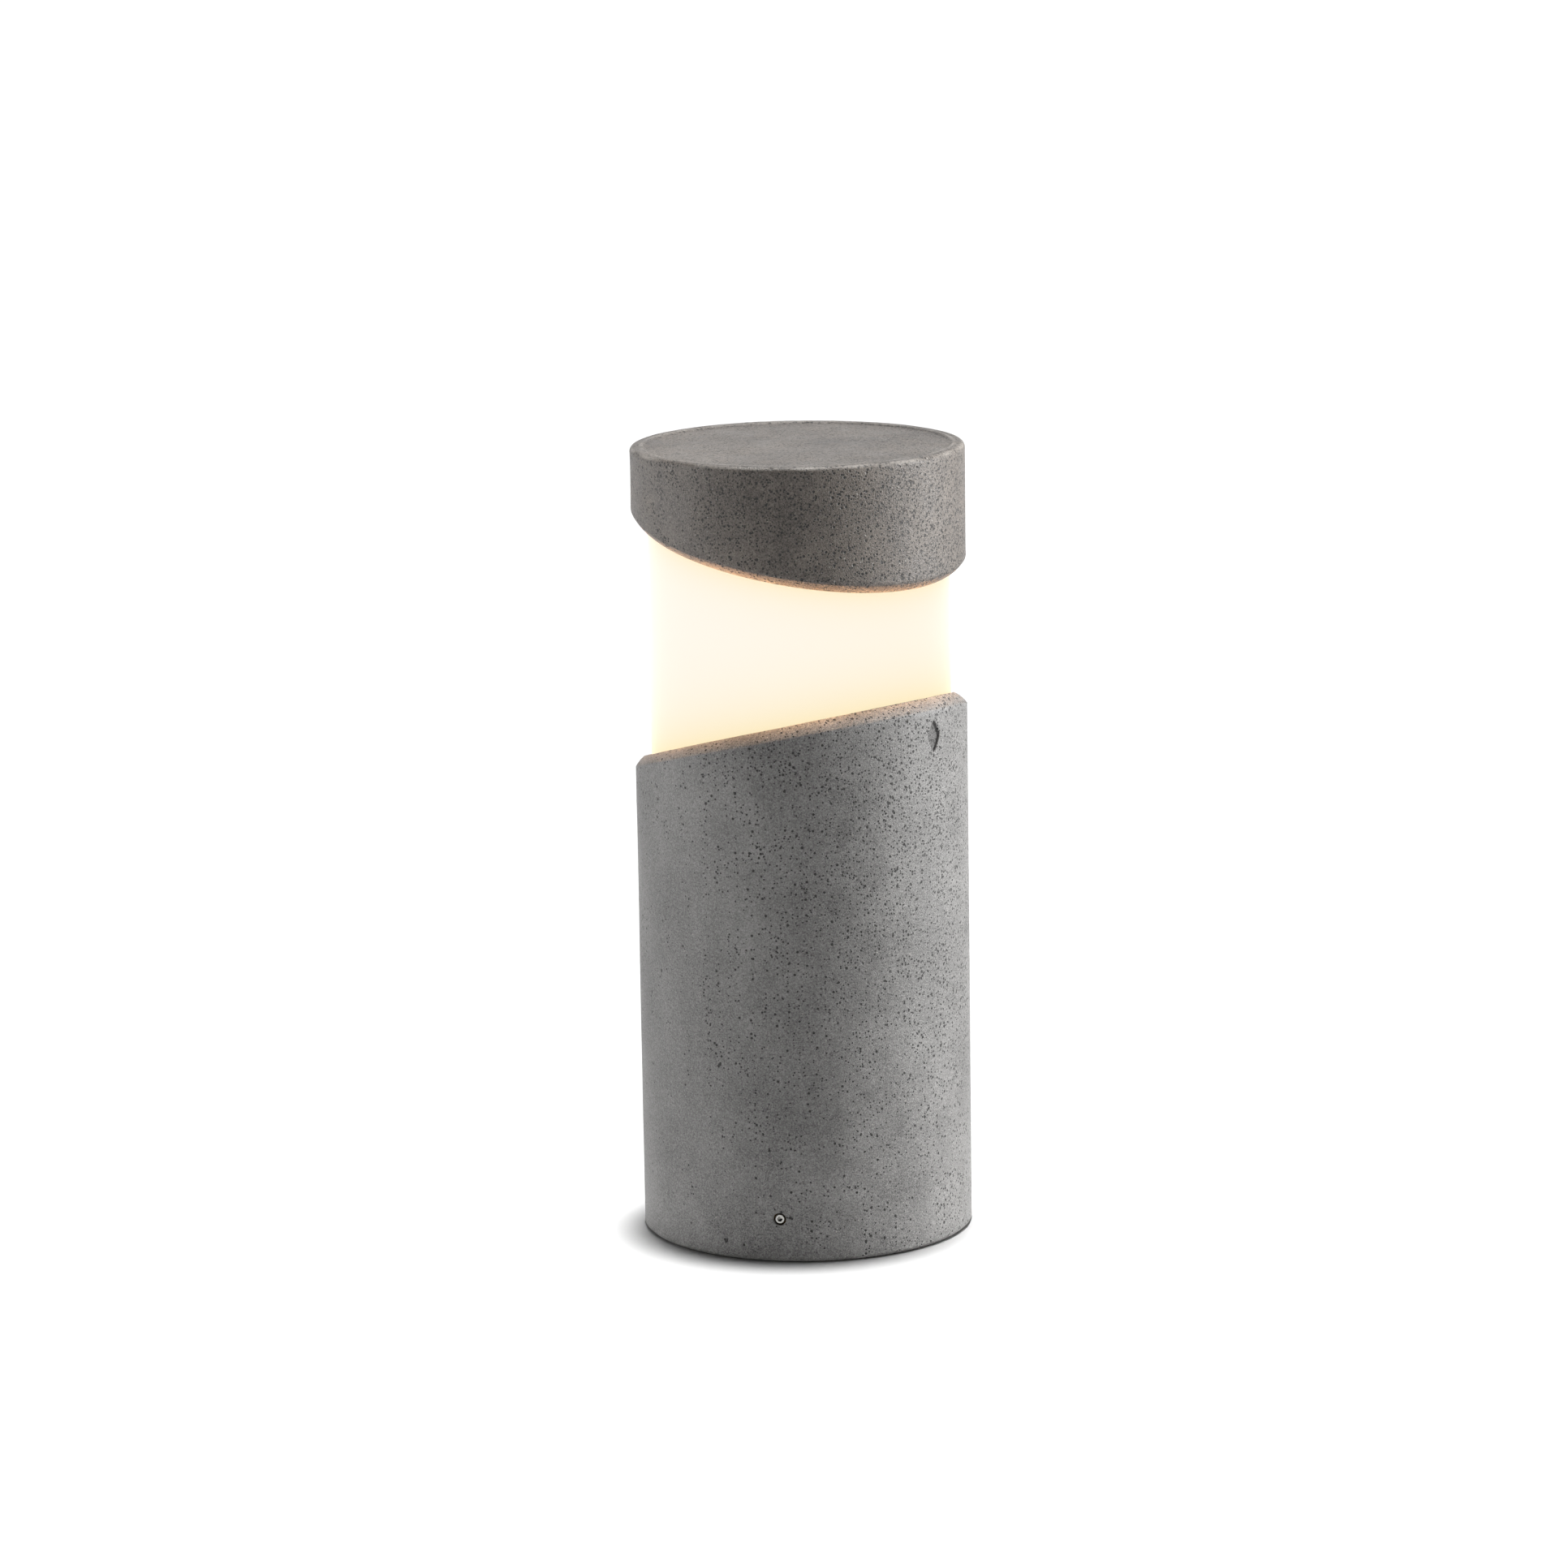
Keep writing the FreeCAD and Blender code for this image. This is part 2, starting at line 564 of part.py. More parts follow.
def lampholder_screws():
    one = screw(M4_R, SHEET_T + HOLDER_SCREW_DEPTH - END_GAP, M4_HEAD_R, M4_HEAD_H)
    shelf_under = SHELF_TOP_Z - SHEET_T
    return Part.makeCompound([place(one, vec(side * HOLDER_SCREW_X, 0, shelf_under), vec(0, 0, -1))
                              for side in (-1, 1)])


def lamp_tip_z():
    return SHELF_TOP_Z + HOLDER_SOCKET_FLOOR + CONTACT_H


def lamp_shell_z():
    return lamp_tip_z() + LAMP_TIP_H + LAMP_INSULATOR_H


def lamp_contact():
    z0 = lamp_tip_z()
    return turned([(0, z0), (LAMP_TIP_R - LAMP_TIP_EDGE, z0), (LAMP_TIP_R, z0 + LAMP_TIP_EDGE),
                   (LAMP_TIP_R, z0 + LAMP_TIP_H), (0, z0 + LAMP_TIP_H)])


def lamp_insulator():
    z0 = lamp_tip_z() + LAMP_TIP_H
    return turned([(0, z0), (LAMP_INSULATOR_FOOT_R, z0), (LAMP_INSULATOR_R, z0 + LAMP_INSULATOR_H),
                   (0, z0 + LAMP_INSULATOR_H)])


def lamp_screw_cap():
    """Rolled thread as a stack of rounded ridges, one per turn."""
    z = lamp_shell_z()
    profile = [(0, z), (LAMP_ROOT_R - LAMP_CAP_EDGE, z)]
    for turn in range(LAMP_THREADS):
        start = z + turn * LAMP_PITCH
        profile += [(LAMP_ROOT_R, start + RIDGE_START * LAMP_PITCH),
                    (LAMP_CREST_R, start + CREST_START * LAMP_PITCH),
                    (LAMP_CREST_R, start + CREST_END * LAMP_PITCH),
                    (LAMP_ROOT_R, start + RIDGE_END * LAMP_PITCH)]
    top = SHELF_TOP_Z + HOLDER_H
    profile += [(LAMP_NECK_R, top - LAMP_COLLAR_H), (LAMP_NECK_R, top), (0, top)]
    return turned(profile)


def lamp_housing():
    """Flared collar between the screw cap and the globe."""
    z0 = SHELF_TOP_Z + HOLDER_H
    z1 = z0 + LAMP_HOUSING_H
    flare = Part.BSplineCurve()
    foot = vec(FLARE_FOOT_R, 0, z0)
    brim = vec(LAMP_R, 0, z1)
    middles = [vec(radius, 0, z0 + share * LAMP_HOUSING_H) for radius, share in (FLARE_LOW, FLARE_HIGH)]
    flare.interpolate([foot, *middles, brim])
    sides = [flare.toShape(), Part.makeLine(brim, vec(0, 0, z1)),
             Part.makeLine(vec(0, 0, z1), vec(0, 0, z0)), Part.makeLine(vec(0, 0, z0), foot)]
    return Part.Face(Part.Wire(sides)).revolve(AXIS, UP, 360)


def lamp_globe():
    """Half an ellipsoid shell on top of the collar."""
    z0 = SHELF_TOP_Z + HOLDER_H + LAMP_HOUSING_H
    outer = half_ellipsoid(LAMP_R, GLOBE_CROWN, z0)
    return outer.cut(half_ellipsoid(LAMP_R - GLOBE_T, GLOBE_CROWN - GLOBE_T, z0))


def half_ellipsoid(radius, height, z0):
    """Upper half of a spheroid that is taller than it is wide."""
    side = vec(radius, 0, z0)
    crown = vec(0, 0, z0 + height)
    curve = Part.Ellipse(crown, side, vec(0, 0, z0))
    ends = sorted([curve.parameter(side), curve.parameter(crown)])
    if ends[1] - ends[0] > math.pi:
        ends = [ends[1], ends[0] + 2 * math.pi]
    arc = curve.toShape(ends[0], ends[1])
    sides = [arc, Part.makeLine(crown, vec(0, 0, z0)), Part.makeLine(vec(0, 0, z0), side)]
    return Part.Face(Part.Wire(Part.__sortEdges__(sides))).revolve(AXIS, UP, 360)


def lead_grommets():
    top = BOX_Z1
    grommets = []
    for x in POLE_X:
        ring = cylinder(GROMMET_R, top - BOX_WALL, top, x, lead_y())
        ring = ring.fuse(cylinder(GROMMET_FLANGE_R, top, top + GROMMET_FLANGE_T, x, lead_y()))
        ring = ring.fuse(cylinder(GROMMET_FLANGE_R, top - BOX_WALL - GROMMET_FLANGE_T, top - BOX_WALL,
                                  x, lead_y()))
        grommets.append(ring.cut(cylinder(LEAD_R, 0, TOTAL_H, x, lead_y())).removeSplitter())
    return Part.makeCompound(grommets)


def lead(points):
    """Round lead along straight runs joined by tangent arcs, each as large as its runs allow."""
    corners = [vec(*point) for point in points]
    edges = []
    start = corners[0]
    for before, corner, after in zip(corners, corners[1:], corners[2:]):
        back = (before - corner).normalize()
        ahead = (after - corner).normalize()
        half_turn = (math.pi - back.getAngle(ahead)) / 2
        shorter = min((before - corner).Length, (after - corner).Length)
        radius = min(RUN_SHARE * shorter / math.tan(half_turn), MAX_LEAD_BEND)
        reach = radius * math.tan(half_turn)
        first = corner + back * reach
        last = corner + ahead * reach
        to_middle = (back + ahead).normalize()
        middle = corner + to_middle * (radius / math.cos(half_turn) - radius)
        edges.append(Part.makeLine(start, first))
        edges.append(Part.Arc(first, middle, last).toShape())
        start = last
    edges.append(Part.makeLine(start, corners[-1]))
    path = Part.Wire(edges)
    circle = Part.Wire(Part.makeCircle(LEAD_R, corners[0], corners[1] - corners[0]))
    pipe = path.makePipeShell([circle], True, False)
    section = math.pi * LEAD_R ** 2
    print("lead: volume / (section x length) = %.4f" % (pipe.Volume / (section * path.Length)))
    return pipe


def lamp_lead(side):
    """From an outer pole up through the shelf to the underside of the lampholder; the points
    between are where the lead would lie when it is pushed up by hand."""
    x = side * POLE_X[-1]
    end_z = SHELF_TOP_Z + HOLDER_UNDER_H - LEAD_END_GAP
    return lead([(x, lead_y(), LEAD_START_Z), (x, lead_y(), BOX_Z1 + 14), (x - side, 13, BOX_Z1 + 30),
                 (x - 2 * side, 3, BOX_Z1 + 43), (x - 2 * side, 0, end_z)])


def earth_lead():
    """From the middle pole to the screw on the upright."""
    lug_y = WEB_Y - WASHER_T - LEAD_R
    return lead([(0, lead_y(), LEAD_START_Z), (0, lead_y(), BOX_Z1 + 7),
                 (0, lug_y - 1.5, BOX_Z1 + 15), (0, lug_y, EARTH_Z - WASHER_R)])


def earth_screw():
    """Screw and washer on the front of the upright."""
    toward = vec(0, -1, 0)
    washer = Part.makeCylinder(WASHER_R, WASHER_T, vec(0, WEB_Y, EARTH_Z), toward)
    bolt = place(screw(M4_R, SHEET_T + WASHER_T + EARTH_NUT_L, M4_HEAD_R, M4_HEAD_H),
                 vec(0, WEB_Y - WASHER_T, EARTH_Z), toward)
    return bolt.fuse(washer).removeSplitter()


def build():
    nodes = {
        "lower_housing": lower_housing(),
        "cap": cap(),
        "diffuser": diffuser(),
        "diffuser_lower_seal": diffuser_seal(SEAT_Z),
        "diffuser_upper_seal": diffuser_seal(CEILING_Z - SEAL_T),
        "cap_reflector": cap_reflector(),
        "reflector_screws": reflector_screws(),
        "screw_inserts": screw_inserts(),
        "base_plate": base_plate(),
        "gear_bracket": gear_bracket(),
        "bracket_screws": bracket_screws(),
        "terminal_box": terminal_box(),
        "terminal_box_lid": terminal_box_lid(),
        "box_lid_screws": box_lid_screws(),
        "box_screws": box_screws(),
        "terminal_block": terminal_block(),
        "terminal_screws": terminal_screws(),
        "gland_body": gland_body(),
        "gland_locknut": gland_locknut(),
        "gland_dome_nut": gland_dome_nut(),
        "gland_seal": gland_seal(),
        "lampholder_body": lampholder_body(),
        "lampholder_shell": lampholder_shell(),
        "lampholder_contact": lampholder_contact(),
        "lampholder_screws": lampholder_screws(),
        "lamp_contact": lamp_contact(),
        "lamp_insulator": lamp_insulator(),
        "lamp_screw_cap": lamp_screw_cap(),
        "lamp_housing": lamp_housing(),
        "lamp_globe": lamp_globe(),
        "lead_grommets": lead_grommets(),
        "live_lead": lamp_lead(-1),
        "neutral_lead": lamp_lead(1),
        "earth_lead": earth_lead(),
        "earth_screw": earth_screw(),
    }
    for number, angle in enumerate(GRUB_ANGLES, start=1):
        nodes["grub_screw_%d" % number] = grub_screw(angle)
    return nodes


os.makedirs("parts", exist_ok=True)
for name, shape in build().items():
    print("%-22s solids %d  valid %s  volume %.1f"
          % (name, len(shape.Solids), shape.isValid(), shape.Volume))
    shape.exportStep("parts/%s.step" % name)
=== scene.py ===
"""Looks for a cast concrete bollard light: concrete shell, opal tube, and the gear inside it.

Laid out as a Blender add-on. Each operator makes one piece or one group of like pieces around
the frame of CAD parts, and the panel lists them in the order in which main() calls them.
Angles round the light are measured from -Y towards +X.
"""
import json
import math

import bmesh
import bpy
import numpy as np
from mathutils import Matrix, Vector


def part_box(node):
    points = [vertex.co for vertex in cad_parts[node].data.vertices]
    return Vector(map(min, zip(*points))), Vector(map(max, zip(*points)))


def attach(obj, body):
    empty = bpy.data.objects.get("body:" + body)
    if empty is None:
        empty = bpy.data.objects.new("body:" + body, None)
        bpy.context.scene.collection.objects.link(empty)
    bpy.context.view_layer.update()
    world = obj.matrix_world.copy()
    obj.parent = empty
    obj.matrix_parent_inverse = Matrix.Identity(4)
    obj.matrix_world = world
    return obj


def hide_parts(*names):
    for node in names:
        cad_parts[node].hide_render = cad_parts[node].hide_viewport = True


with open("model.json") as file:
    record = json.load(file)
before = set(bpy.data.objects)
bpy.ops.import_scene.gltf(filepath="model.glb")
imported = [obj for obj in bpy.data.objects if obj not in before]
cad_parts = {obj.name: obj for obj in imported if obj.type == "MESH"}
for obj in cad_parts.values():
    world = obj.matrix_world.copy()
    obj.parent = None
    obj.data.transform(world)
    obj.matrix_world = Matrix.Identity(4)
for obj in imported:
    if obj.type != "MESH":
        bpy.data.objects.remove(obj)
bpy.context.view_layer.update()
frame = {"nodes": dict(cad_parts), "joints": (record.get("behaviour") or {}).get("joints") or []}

bl_info = {
    "name": "Concrete bollard light",
    "version": (1, 0, 0),
    "blender": (4, 5, 0),
    "location": "3D View > Sidebar > Bollard",
    "description": "Builds the visible pieces and finishes of a cast concrete bollard light",
    "category": "Add Mesh",
}

MM = 0.001

# Sizes read from the frame, in mm
OUTER_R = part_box("lower_housing")[1].x / MM
TOTAL_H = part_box("cap")[1].z / MM
TUBE_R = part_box("diffuser")[1].x / MM
TUBE_Z0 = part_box("diffuser")[0].z / MM
TUBE_Z1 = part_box("diffuser")[1].z / MM
SEAT_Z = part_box("diffuser_lower_seal")[0].z / MM
CEILING_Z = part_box("diffuser_upper_seal")[1].z / MM
GRUB_Z = (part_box("grub_screw_1")[0].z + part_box("grub_screw_1")[1].z) / 2 / MM
GRUB_ANGLES = [math.degrees(math.atan2(joint["axis"][0], -joint["axis"][1]))
               for joint in frame["joints"] if joint["name"].startswith("grub")]

# Concrete, repeated from the design because the frame has no slopes or radii
RIM_Z = 255.6
RIM_SLOPE = -0.2705
SOFFIT_Z = 349.5
SOFFIT_SLOPE = 0.2277
BORE_R = 68.0
TUBE_BORE_R = 75.4
INSERT_END_R = 80.5
INSERT_HOLE_R = 4.0
GRUB_HOLE_R = 3.2

# Grid of the concrete surfaces: columns round the light, and rows up the wall
COLUMNS = 288
STEP = 360 / COLUMNS
ROW_PITCH = 1.8
ROWS_BELOW_GRUB = 11
ROWS_ABOVE_GRUB = 54
STRETCHED_ROWS = 76
EDGE_ROWS = 9
HOLE_HALF = 4             # half the width of the square of cells that a round hole takes
MARK_COLUMNS = (-6, 7)    # columns that the lozenge takes, from the one nearest its middle

# Small shapes of the concrete, in mm
WAVES = 8                 # how many waves a cast surface's unevenness is made of
LIP_WIDTH = 0.8           # the worn corner between each slanted rim and the bore for the tube
LIP_DROP = 0.7
CALM_BODY = 30            # the cast walls run true towards their ends, from this far off
CALM_CAP = 10
CREASE = 50               # degrees past which an edge of the concrete is drawn sharp
HOLE_EASE = 0.35          # how far the rounded mouth of a grub hole reaches, across and inwards
HOLE_STEPS = ((0.12, 0.1), (0.0, HOLE_EASE))             # (wider by, deeper by)
LOZENGE_SOFTNESS = 1.14   # power of the lozenge's outline: 1 is straight sides and 2 is an ellipse
LOZENGE_EASE = 0.25       # how far outside the outline its edge begins to round
# (wider by, share of the depth) of each ring down the lozenge's sides
LOZENGE_STEPS = ((0.05, 0.1), (-0.05, 0.35), (-0.2, 0.85), (-0.4, 1.0))

# The studio, in metres and degrees
FLOOR_HALF = 60.0
SUN_HEIGHT = 2.6
BOUNCE_REACH = 0.13
PANELS = 24               # upright lights round the tube for each of the two slanted edges
PANEL_HEIGHT = 90         # mm, the height at which a panel has its stated power


def rgb(code):
    """Linear RGBA of an sRGB hex value."""
    parts = [int(code[i:i + 2], 16) / 255 for i in (1, 3, 5)]
    return [c / 12.92 if c <= 0.04045 else ((c + 0.055) / 1.055) ** 2.4 for c in parts] + [1.0]


def put(name, data):
    """A new object in the scene."""
    item = bpy.data.objects.new(name, data)
    bpy.context.scene.collection.objects.link(item)
    return item


# ---- surfaces

def wander(turn, z, size, seed):
    """Slow unevenness of a cast surface, about -size to size: waves, each a whole number of times
    round the light and with its own slant in z, added with falling weight. Their sum seldom nears
    the sum of their weights, so it is made 1.6 times as large."""
    random = np.random.default_rng(seed)
    total = np.zeros(np.broadcast(turn, z).shape)
    weight = 0.0
    for wave in range(WAVES):
        around = random.integers(1, 4 + 2 * wave)
        rise = random.normal() * (0.02 + 0.012 * wave)
        share = 1 / (1 + 0.5 * wave)
        total = total + share * np.sin(around * turn + rise * z + random.uniform(0, 2 * math.pi))
        weight += share
    return size * total / weight * 1.6


def spin(radius, z, turn):
    """Points (radius sin turn, -radius cos turn, z) as an array of rows."""
    radius, z, turn = np.broadcast_arrays(radius, z, turn)
    return np.stack([radius * np.sin(turn), -radius * np.cos(turn), z], axis=-1)


def arc_rows(count):
    """Even steps from 0 to 1, as a column."""
    return np.linspace(0, 1, count)[:, None]


def edge_round(corner_z, slope, fillet, side, count, flatness=0.7):
    """Rows (radius, z) of a rubbed edge in each half plane: an arc of the fillet's radius that meets
    the upright wall at OUTER_R and the line through the corner that falls by slope per mm inwards,
    drawn towards its own chord by flatness. side is 1 where the wall ends upwards, and else -1."""
    total = math.pi / 2 + side * np.arctan(slope)
    reach = fillet * np.tan(total / 2)
    angle = arc_rows(count) * total
    radius = OUTER_R - fillet + fillet * np.cos(angle)
    z = corner_z - side * reach + side * fillet * np.sin(angle)
    chord_r, chord_z = between((radius[0], z[0]), (radius[-1], z[-1]), count, skip_first=False)
    return radius + (chord_r - radius) * flatness, z + (chord_z - z) * flatness


def between(start, end, count, skip_first=True):
    """Rows (radius, z) that go evenly from one row to another."""
    share = arc_rows(count + 1)[1:] if skip_first else arc_rows(count)
    return (start[0] + (end[0] - start[0]) * share, start[1] + (end[1] - start[1]) * share)


class Skin:
    """One closed skin under construction: vertices, and faces as lists of their numbers."""

    def __init__(self):
        self.points = []
        self.faces = []
        self.count = 0

    def add(self, points):
        """Adds rows (x, y, z) in mm and returns their numbers."""
        points = np.asarray(points, float).reshape(-1, 3)
        first = self.count
        self.points.append(points)
        self.count += len(points)
        return np.arange(first, self.count)

    def strip(self, lower, upper):
        """Quads between two closed rings of equal length."""
        after_lower, after_upper = np.roll(lower, -1), np.roll(upper, -1)
        self.faces += np.stack([lower, after_lower, after_upper, upper], axis=-1).tolist()

    def fan(self, ring, centre):
        """Triangles from a closed ring to one middle vertex."""
        middle = np.full(len(ring), centre)
        self.faces += np.stack([ring, np.roll(ring, -1), middle], axis=-1).tolist()

    def mesh(self, name, crease):
        """The object, in metres, smooth but for edges sharper than crease degrees."""
        mesh = bpy.data.meshes.new(name)
        mesh.from_pydata((np.concatenate(self.points) * MM).tolist(), [], self.faces)
        edit = bmesh.new()
        edit.from_mesh(mesh)
        bmesh.ops.remove_doubles(edit, verts=edit.verts, dist=1e-7)
        bmesh.ops.recalc_face_normals(edit, faces=edit.faces)
        edit.to_mesh(mesh)
        edit.free()
        mesh.shade_smooth()
        mesh.set_sharp_from_angle(angle=math.radians(crease))
        return put(name, mesh)


def grid(skin, rows, closed, holes=()):
    """Adds a grid of rows round the light and its quads, leaving out the cells in holes, each
    (first row, last row, first column, last column). Returns the vertex numbers."""
    numbers = skin.add(rows).reshape(rows.shape[:2])
    count = len(rows) if closed else len(rows) - 1
    keep = np.ones((count, rows.shape[1]), bool)
    for row0, row1, column0, column1 in holes:
        keep[row0:row1, np.arange(column0, column1) % rows.shape[1]] = False
    lower, upper = numbers[:count], np.roll(numbers, -1, axis=0)[:count]
    quads = np.stack([lower, np.roll(lower, -1, axis=1), np.roll(upper, -1, axis=1), upper], axis=-1)
    skin.faces += quads[keep].tolist()
    return numbers


def hole_border(numbers, hole):
    """Vertex numbers round the cells of a hole, once round from its first corner."""
    row0, row1, column0, column1 = hole
    columns = np.arange(column0, column1 + 1) % numbers.shape[1]
    bottom = numbers[row0, columns[:-1]]
    right = numbers[row0:row1, columns[-1]]
    top = numbers[row1, columns[:0:-1]]
    left = numbers[row1:row0:-1, columns[0]]
    return np.concatenate([bottom, right, top, left])


def flat_of(points, angle):
    """Distance round the wall and height of points, seen from the axis at an angle."""
    turn = np.arctan2(points[:, 0], -points[:, 1]) - math.radians(angle)
    turn = (turn + math.pi) % (2 * math.pi) - math.pi
    return np.stack([turn * np.hypot(points[:, 0], points[:, 1]), points[:, 2]], axis=-1)


def ring_in_wall(flat, depth_r, angle):
    """Points (across, z), seen from outside at an angle, set on the round surface of radius
    depth_r: each is turned by arcsin(across / depth_r)."""
    turn = math.radians(angle) + np.arcsin(flat[:, 0] / depth_r)
    return spin(depth_r, flat[:, 1], turn)


def blend_to_outline(skin, border, outline, angle, surface_r, rings=4):
    """Rings that carry the border of a hole over to the outline (across, z) drawn on the surface,
    in even shares of the way."""
    edge = np.concatenate(skin.points)[border]
    start, reach = flat_of(edge, angle), np.hypot(edge[:, 0], edge[:, 1])
    last = border
    for step in range(1, rings + 1):
        share = step / rings
        flat = start + (outline - start) * share
        radius = reach + (surface_r - reach) * share
        turn = math.radians(angle) + flat[:, 0] / radius
        numbers = skin.add(spin(radius, flat[:, 1], turn))
        skin.strip(last, numbers)
        last = numbers
    return last


def circle(count, radius, z):
    """Circle (across, z) that starts towards the first corner of a square hole."""
    angle = -0.75 * math.pi + 2 * math.pi * np.arange(count) / count
    return np.stack([radius * np.cos(angle), z + radius * np.sin(angle)], axis=-1)


def drill_wall(skin, outer, outer_hole, inner, inner_hole, angle):
    """A stepped hole through the wall: small outside, where it is slightly rounded, and wide
    inside, where the threaded insert sits."""
    border = hole_border(outer, outer_hole)
    count = len(border)
    mouth = circle(count, GRUB_HOLE_R + HOLE_EASE, GRUB_Z)
    last = blend_to_outline(skin, border, mouth, angle, OUTER_R)
    for wider, deeper in HOLE_STEPS + ((0.0, OUTER_R - INSERT_END_R),):
        ring = circle(count, GRUB_HOLE_R + wider, GRUB_Z)
        numbers = skin.add(ring_in_wall(ring, OUTER_R - deeper, angle))
        skin.strip(last, numbers)
        last = numbers
    wide = circle(count, INSERT_HOLE_R, GRUB_Z)
    shoulder = skin.add(ring_in_wall(wide, INSERT_END_R, angle))
    skin.strip(last, shoulder)
    inside = blend_to_outline(skin, hole_border(inner, inner_hole), wide, angle, BORE_R)
    skin.strip(shoulder, inside)


def lozenge(away, width, height):
    """Outline of an upright lozenge with soft corners about (0, 0), in the directions of the points
    away: the distance is (|cos a / half width|^p + |sin a / half height|^p)^(-1/p)."""
    angle, soft = np.arctan2(away[:, 1], away[:, 0]), LOZENGE_SOFTNESS
    reach = ((np.abs(np.cos(angle)) / (width / 2)) ** soft
             + (np.abs(np.sin(angle)) / (height / 2)) ** soft) ** (-1 / soft)
    return np.stack([reach * np.cos(angle), reach * np.sin(angle)], axis=-1)


def sink_lozenge(skin, numbers, hole, settings):
    """A shallow recess with a rounded edge, sloping sides and a floor that follows the wall."""
    angle = settings.lozenge_angle
    centre = np.array([0.0, settings.lozenge_z])
    border = hole_border(numbers, hole)
    start = flat_of(np.concatenate(skin.points)[border], angle)
    outline = lozenge(start - centre, settings.lozenge_width, settings.lozenge_height)
    reach = np.hypot(outline[:, 0], outline[:, 1])[:, None]
    edge = outline * (1 + LOZENGE_EASE / reach) + centre
    last = blend_to_outline(skin, border, edge, angle, OUTER_R)
    floor_r = OUTER_R - settings.lozenge_depth
    rings = [(outline * (1 + wider / reach), OUTER_R - settings.lozenge_depth * share)
             for wider, share in LOZENGE_STEPS]
    rings += [(rings[-1][0] * share, floor_r) for share in (0.66, 0.33)]
    for shape, radius in rings:
        numbers = skin.add(ring_in_wall(shape + centre, radius, angle))
        skin.strip(last, numbers)
        last = numbers
    middle = skin.add(ring_in_wall(centre[None], floor_r, angle))
    skin.fan(last, int(middle[0]))


def body_rows(turn, settings):
    """Closed profile of the lower body at every column: up the wall, over the rounded rim, down to
    the ledge, down the bore and back under the foot. Returns rows (radius, z) and the index of the
    grub screws' row on the wall and in the bore."""
    rise = -RIM_SLOPE * np.cos(turn)
    corner = RIM_Z + rise * OUTER_R + wander(turn, 0, settings.rim_wander, 3)
    edge_r, edge_z = edge_round(corner, rise, settings.rim_fillet, 1, EDGE_ROWS)
    level = 0 * turn
    steps = np.arange(-ROWS_BELOW_GRUB, ROWS_ABOVE_GRUB + 1)[:, None]
    even = GRUB_Z + ROW_PITCH * steps + level
    stretch = between((OUTER_R, even[-1]), (OUTER_R, edge_z[0]), STRETCHED_ROWS)[1][:-1]
    wall_z = np.concatenate([settings.foot_chamfer + level[None], even, stretch])
    bump = wander(turn[None], wall_z, settings.wall_wander, 5)
    calm = np.clip((corner - wall_z) / CALM_BODY, 0, 1)
    wall_r = OUTER_R - np.abs(bump) * calm
    lip_r = TUBE_BORE_R + LIP_WIDTH
    lip_z = edge_z[-1] - rise * (edge_r[-1] - lip_r)
    lip = between((edge_r[-1], edge_z[-1]), (lip_r + level, lip_z), 4)
    inner = (TUBE_BORE_R + level, lip_z - rise * LIP_WIDTH - LIP_DROP)
    seat = (TUBE_BORE_R + level, SEAT_Z + level)
    ledge = (BORE_R + level, SEAT_Z + level)
    bore_z = GRUB_Z - ROW_PITCH * np.arange(-ROWS_BELOW_GRUB, ROWS_BELOW_GRUB + 1)[:, None] + level
    foot_in = (BORE_R + level, level)
    foot_out = (OUTER_R - settings.foot_chamfer + level, level)
    above_bore = [(wall_r, wall_z), (edge_r, edge_z), lip,
                  between((lip[0][-1], lip[1][-1]), inner, 2), between(inner, seat, 10),
                  between(seat, ledge, 2), between(ledge, (BORE_R + level, bore_z[0]), 12)]
    below_bore = [(BORE_R + 0 * bore_z[1:], bore_z[1:]), between((BORE_R, bore_z[-1]), foot_in, 1),
                  between(foot_in, foot_out, 3)]
    radius = np.concatenate([part[0] for part in above_bore + below_bore])
    z = np.concatenate([part[1] for part in above_bore + below_bore])
    bore_top_row = sum(len(part[1]) for part in above_bore) - 1
    return radius, z, 1 + ROWS_BELOW_GRUB, bore_top_row + ROWS_BELOW_GRUB


def make_body(settings):
    """The lower body: its profile carried round the axis as a closed grid, with the cells of the
    grub holes and of the lozenge left out and filled with their own rings."""
    turn = np.radians(STEP * np.arange(COLUMNS))
    radius, z, grub_row, bore_row = body_rows(turn, settings)
    rows = spin(radius, z, turn[None])
    outer_holes, inner_holes = [], []
    for angle in GRUB_ANGLES:
        column = round(angle / STEP)
        span = (column - HOLE_HALF, column + HOLE_HALF)
        outer_holes.append((grub_row - HOLE_HALF, grub_row + HOLE_HALF, *span))
        inner_holes.append((bore_row - HOLE_HALF, bore_row + HOLE_HALF, *span))
    middle = round(settings.lozenge_angle / STEP)
    heights = z[:grub_row + ROWS_ABOVE_GRUB + STRETCHED_ROWS, middle]
    half = settings.lozenge_height / 2
    room_below, room_above = 3, 2.2
    low = int(np.abs(heights - (settings.lozenge_z - half - room_below)).argmin())
    high = int(np.abs(heights - (settings.lozenge_z + half + room_above)).argmin())
    mark_hole = (low, high, *(middle + column for column in MARK_COLUMNS))
    skin = Skin()
    numbers = grid(skin, rows, True, outer_holes + inner_holes + [mark_hole])
    end = len(numbers) - 1
    for angle, outer_hole, (first, last, *span) in zip(GRUB_ANGLES, outer_holes, inner_holes):
        # the bore's rows run down, so its holes are counted from the far end
        inner_hole = (end - last, end - first, *span)
        drill_wall(skin, numbers, outer_hole, numbers[::-1], inner_hole, angle)
    sink_lozenge(skin, numbers, mark_hole, settings)
    return skin.mesh("concrete_body", CREASE)


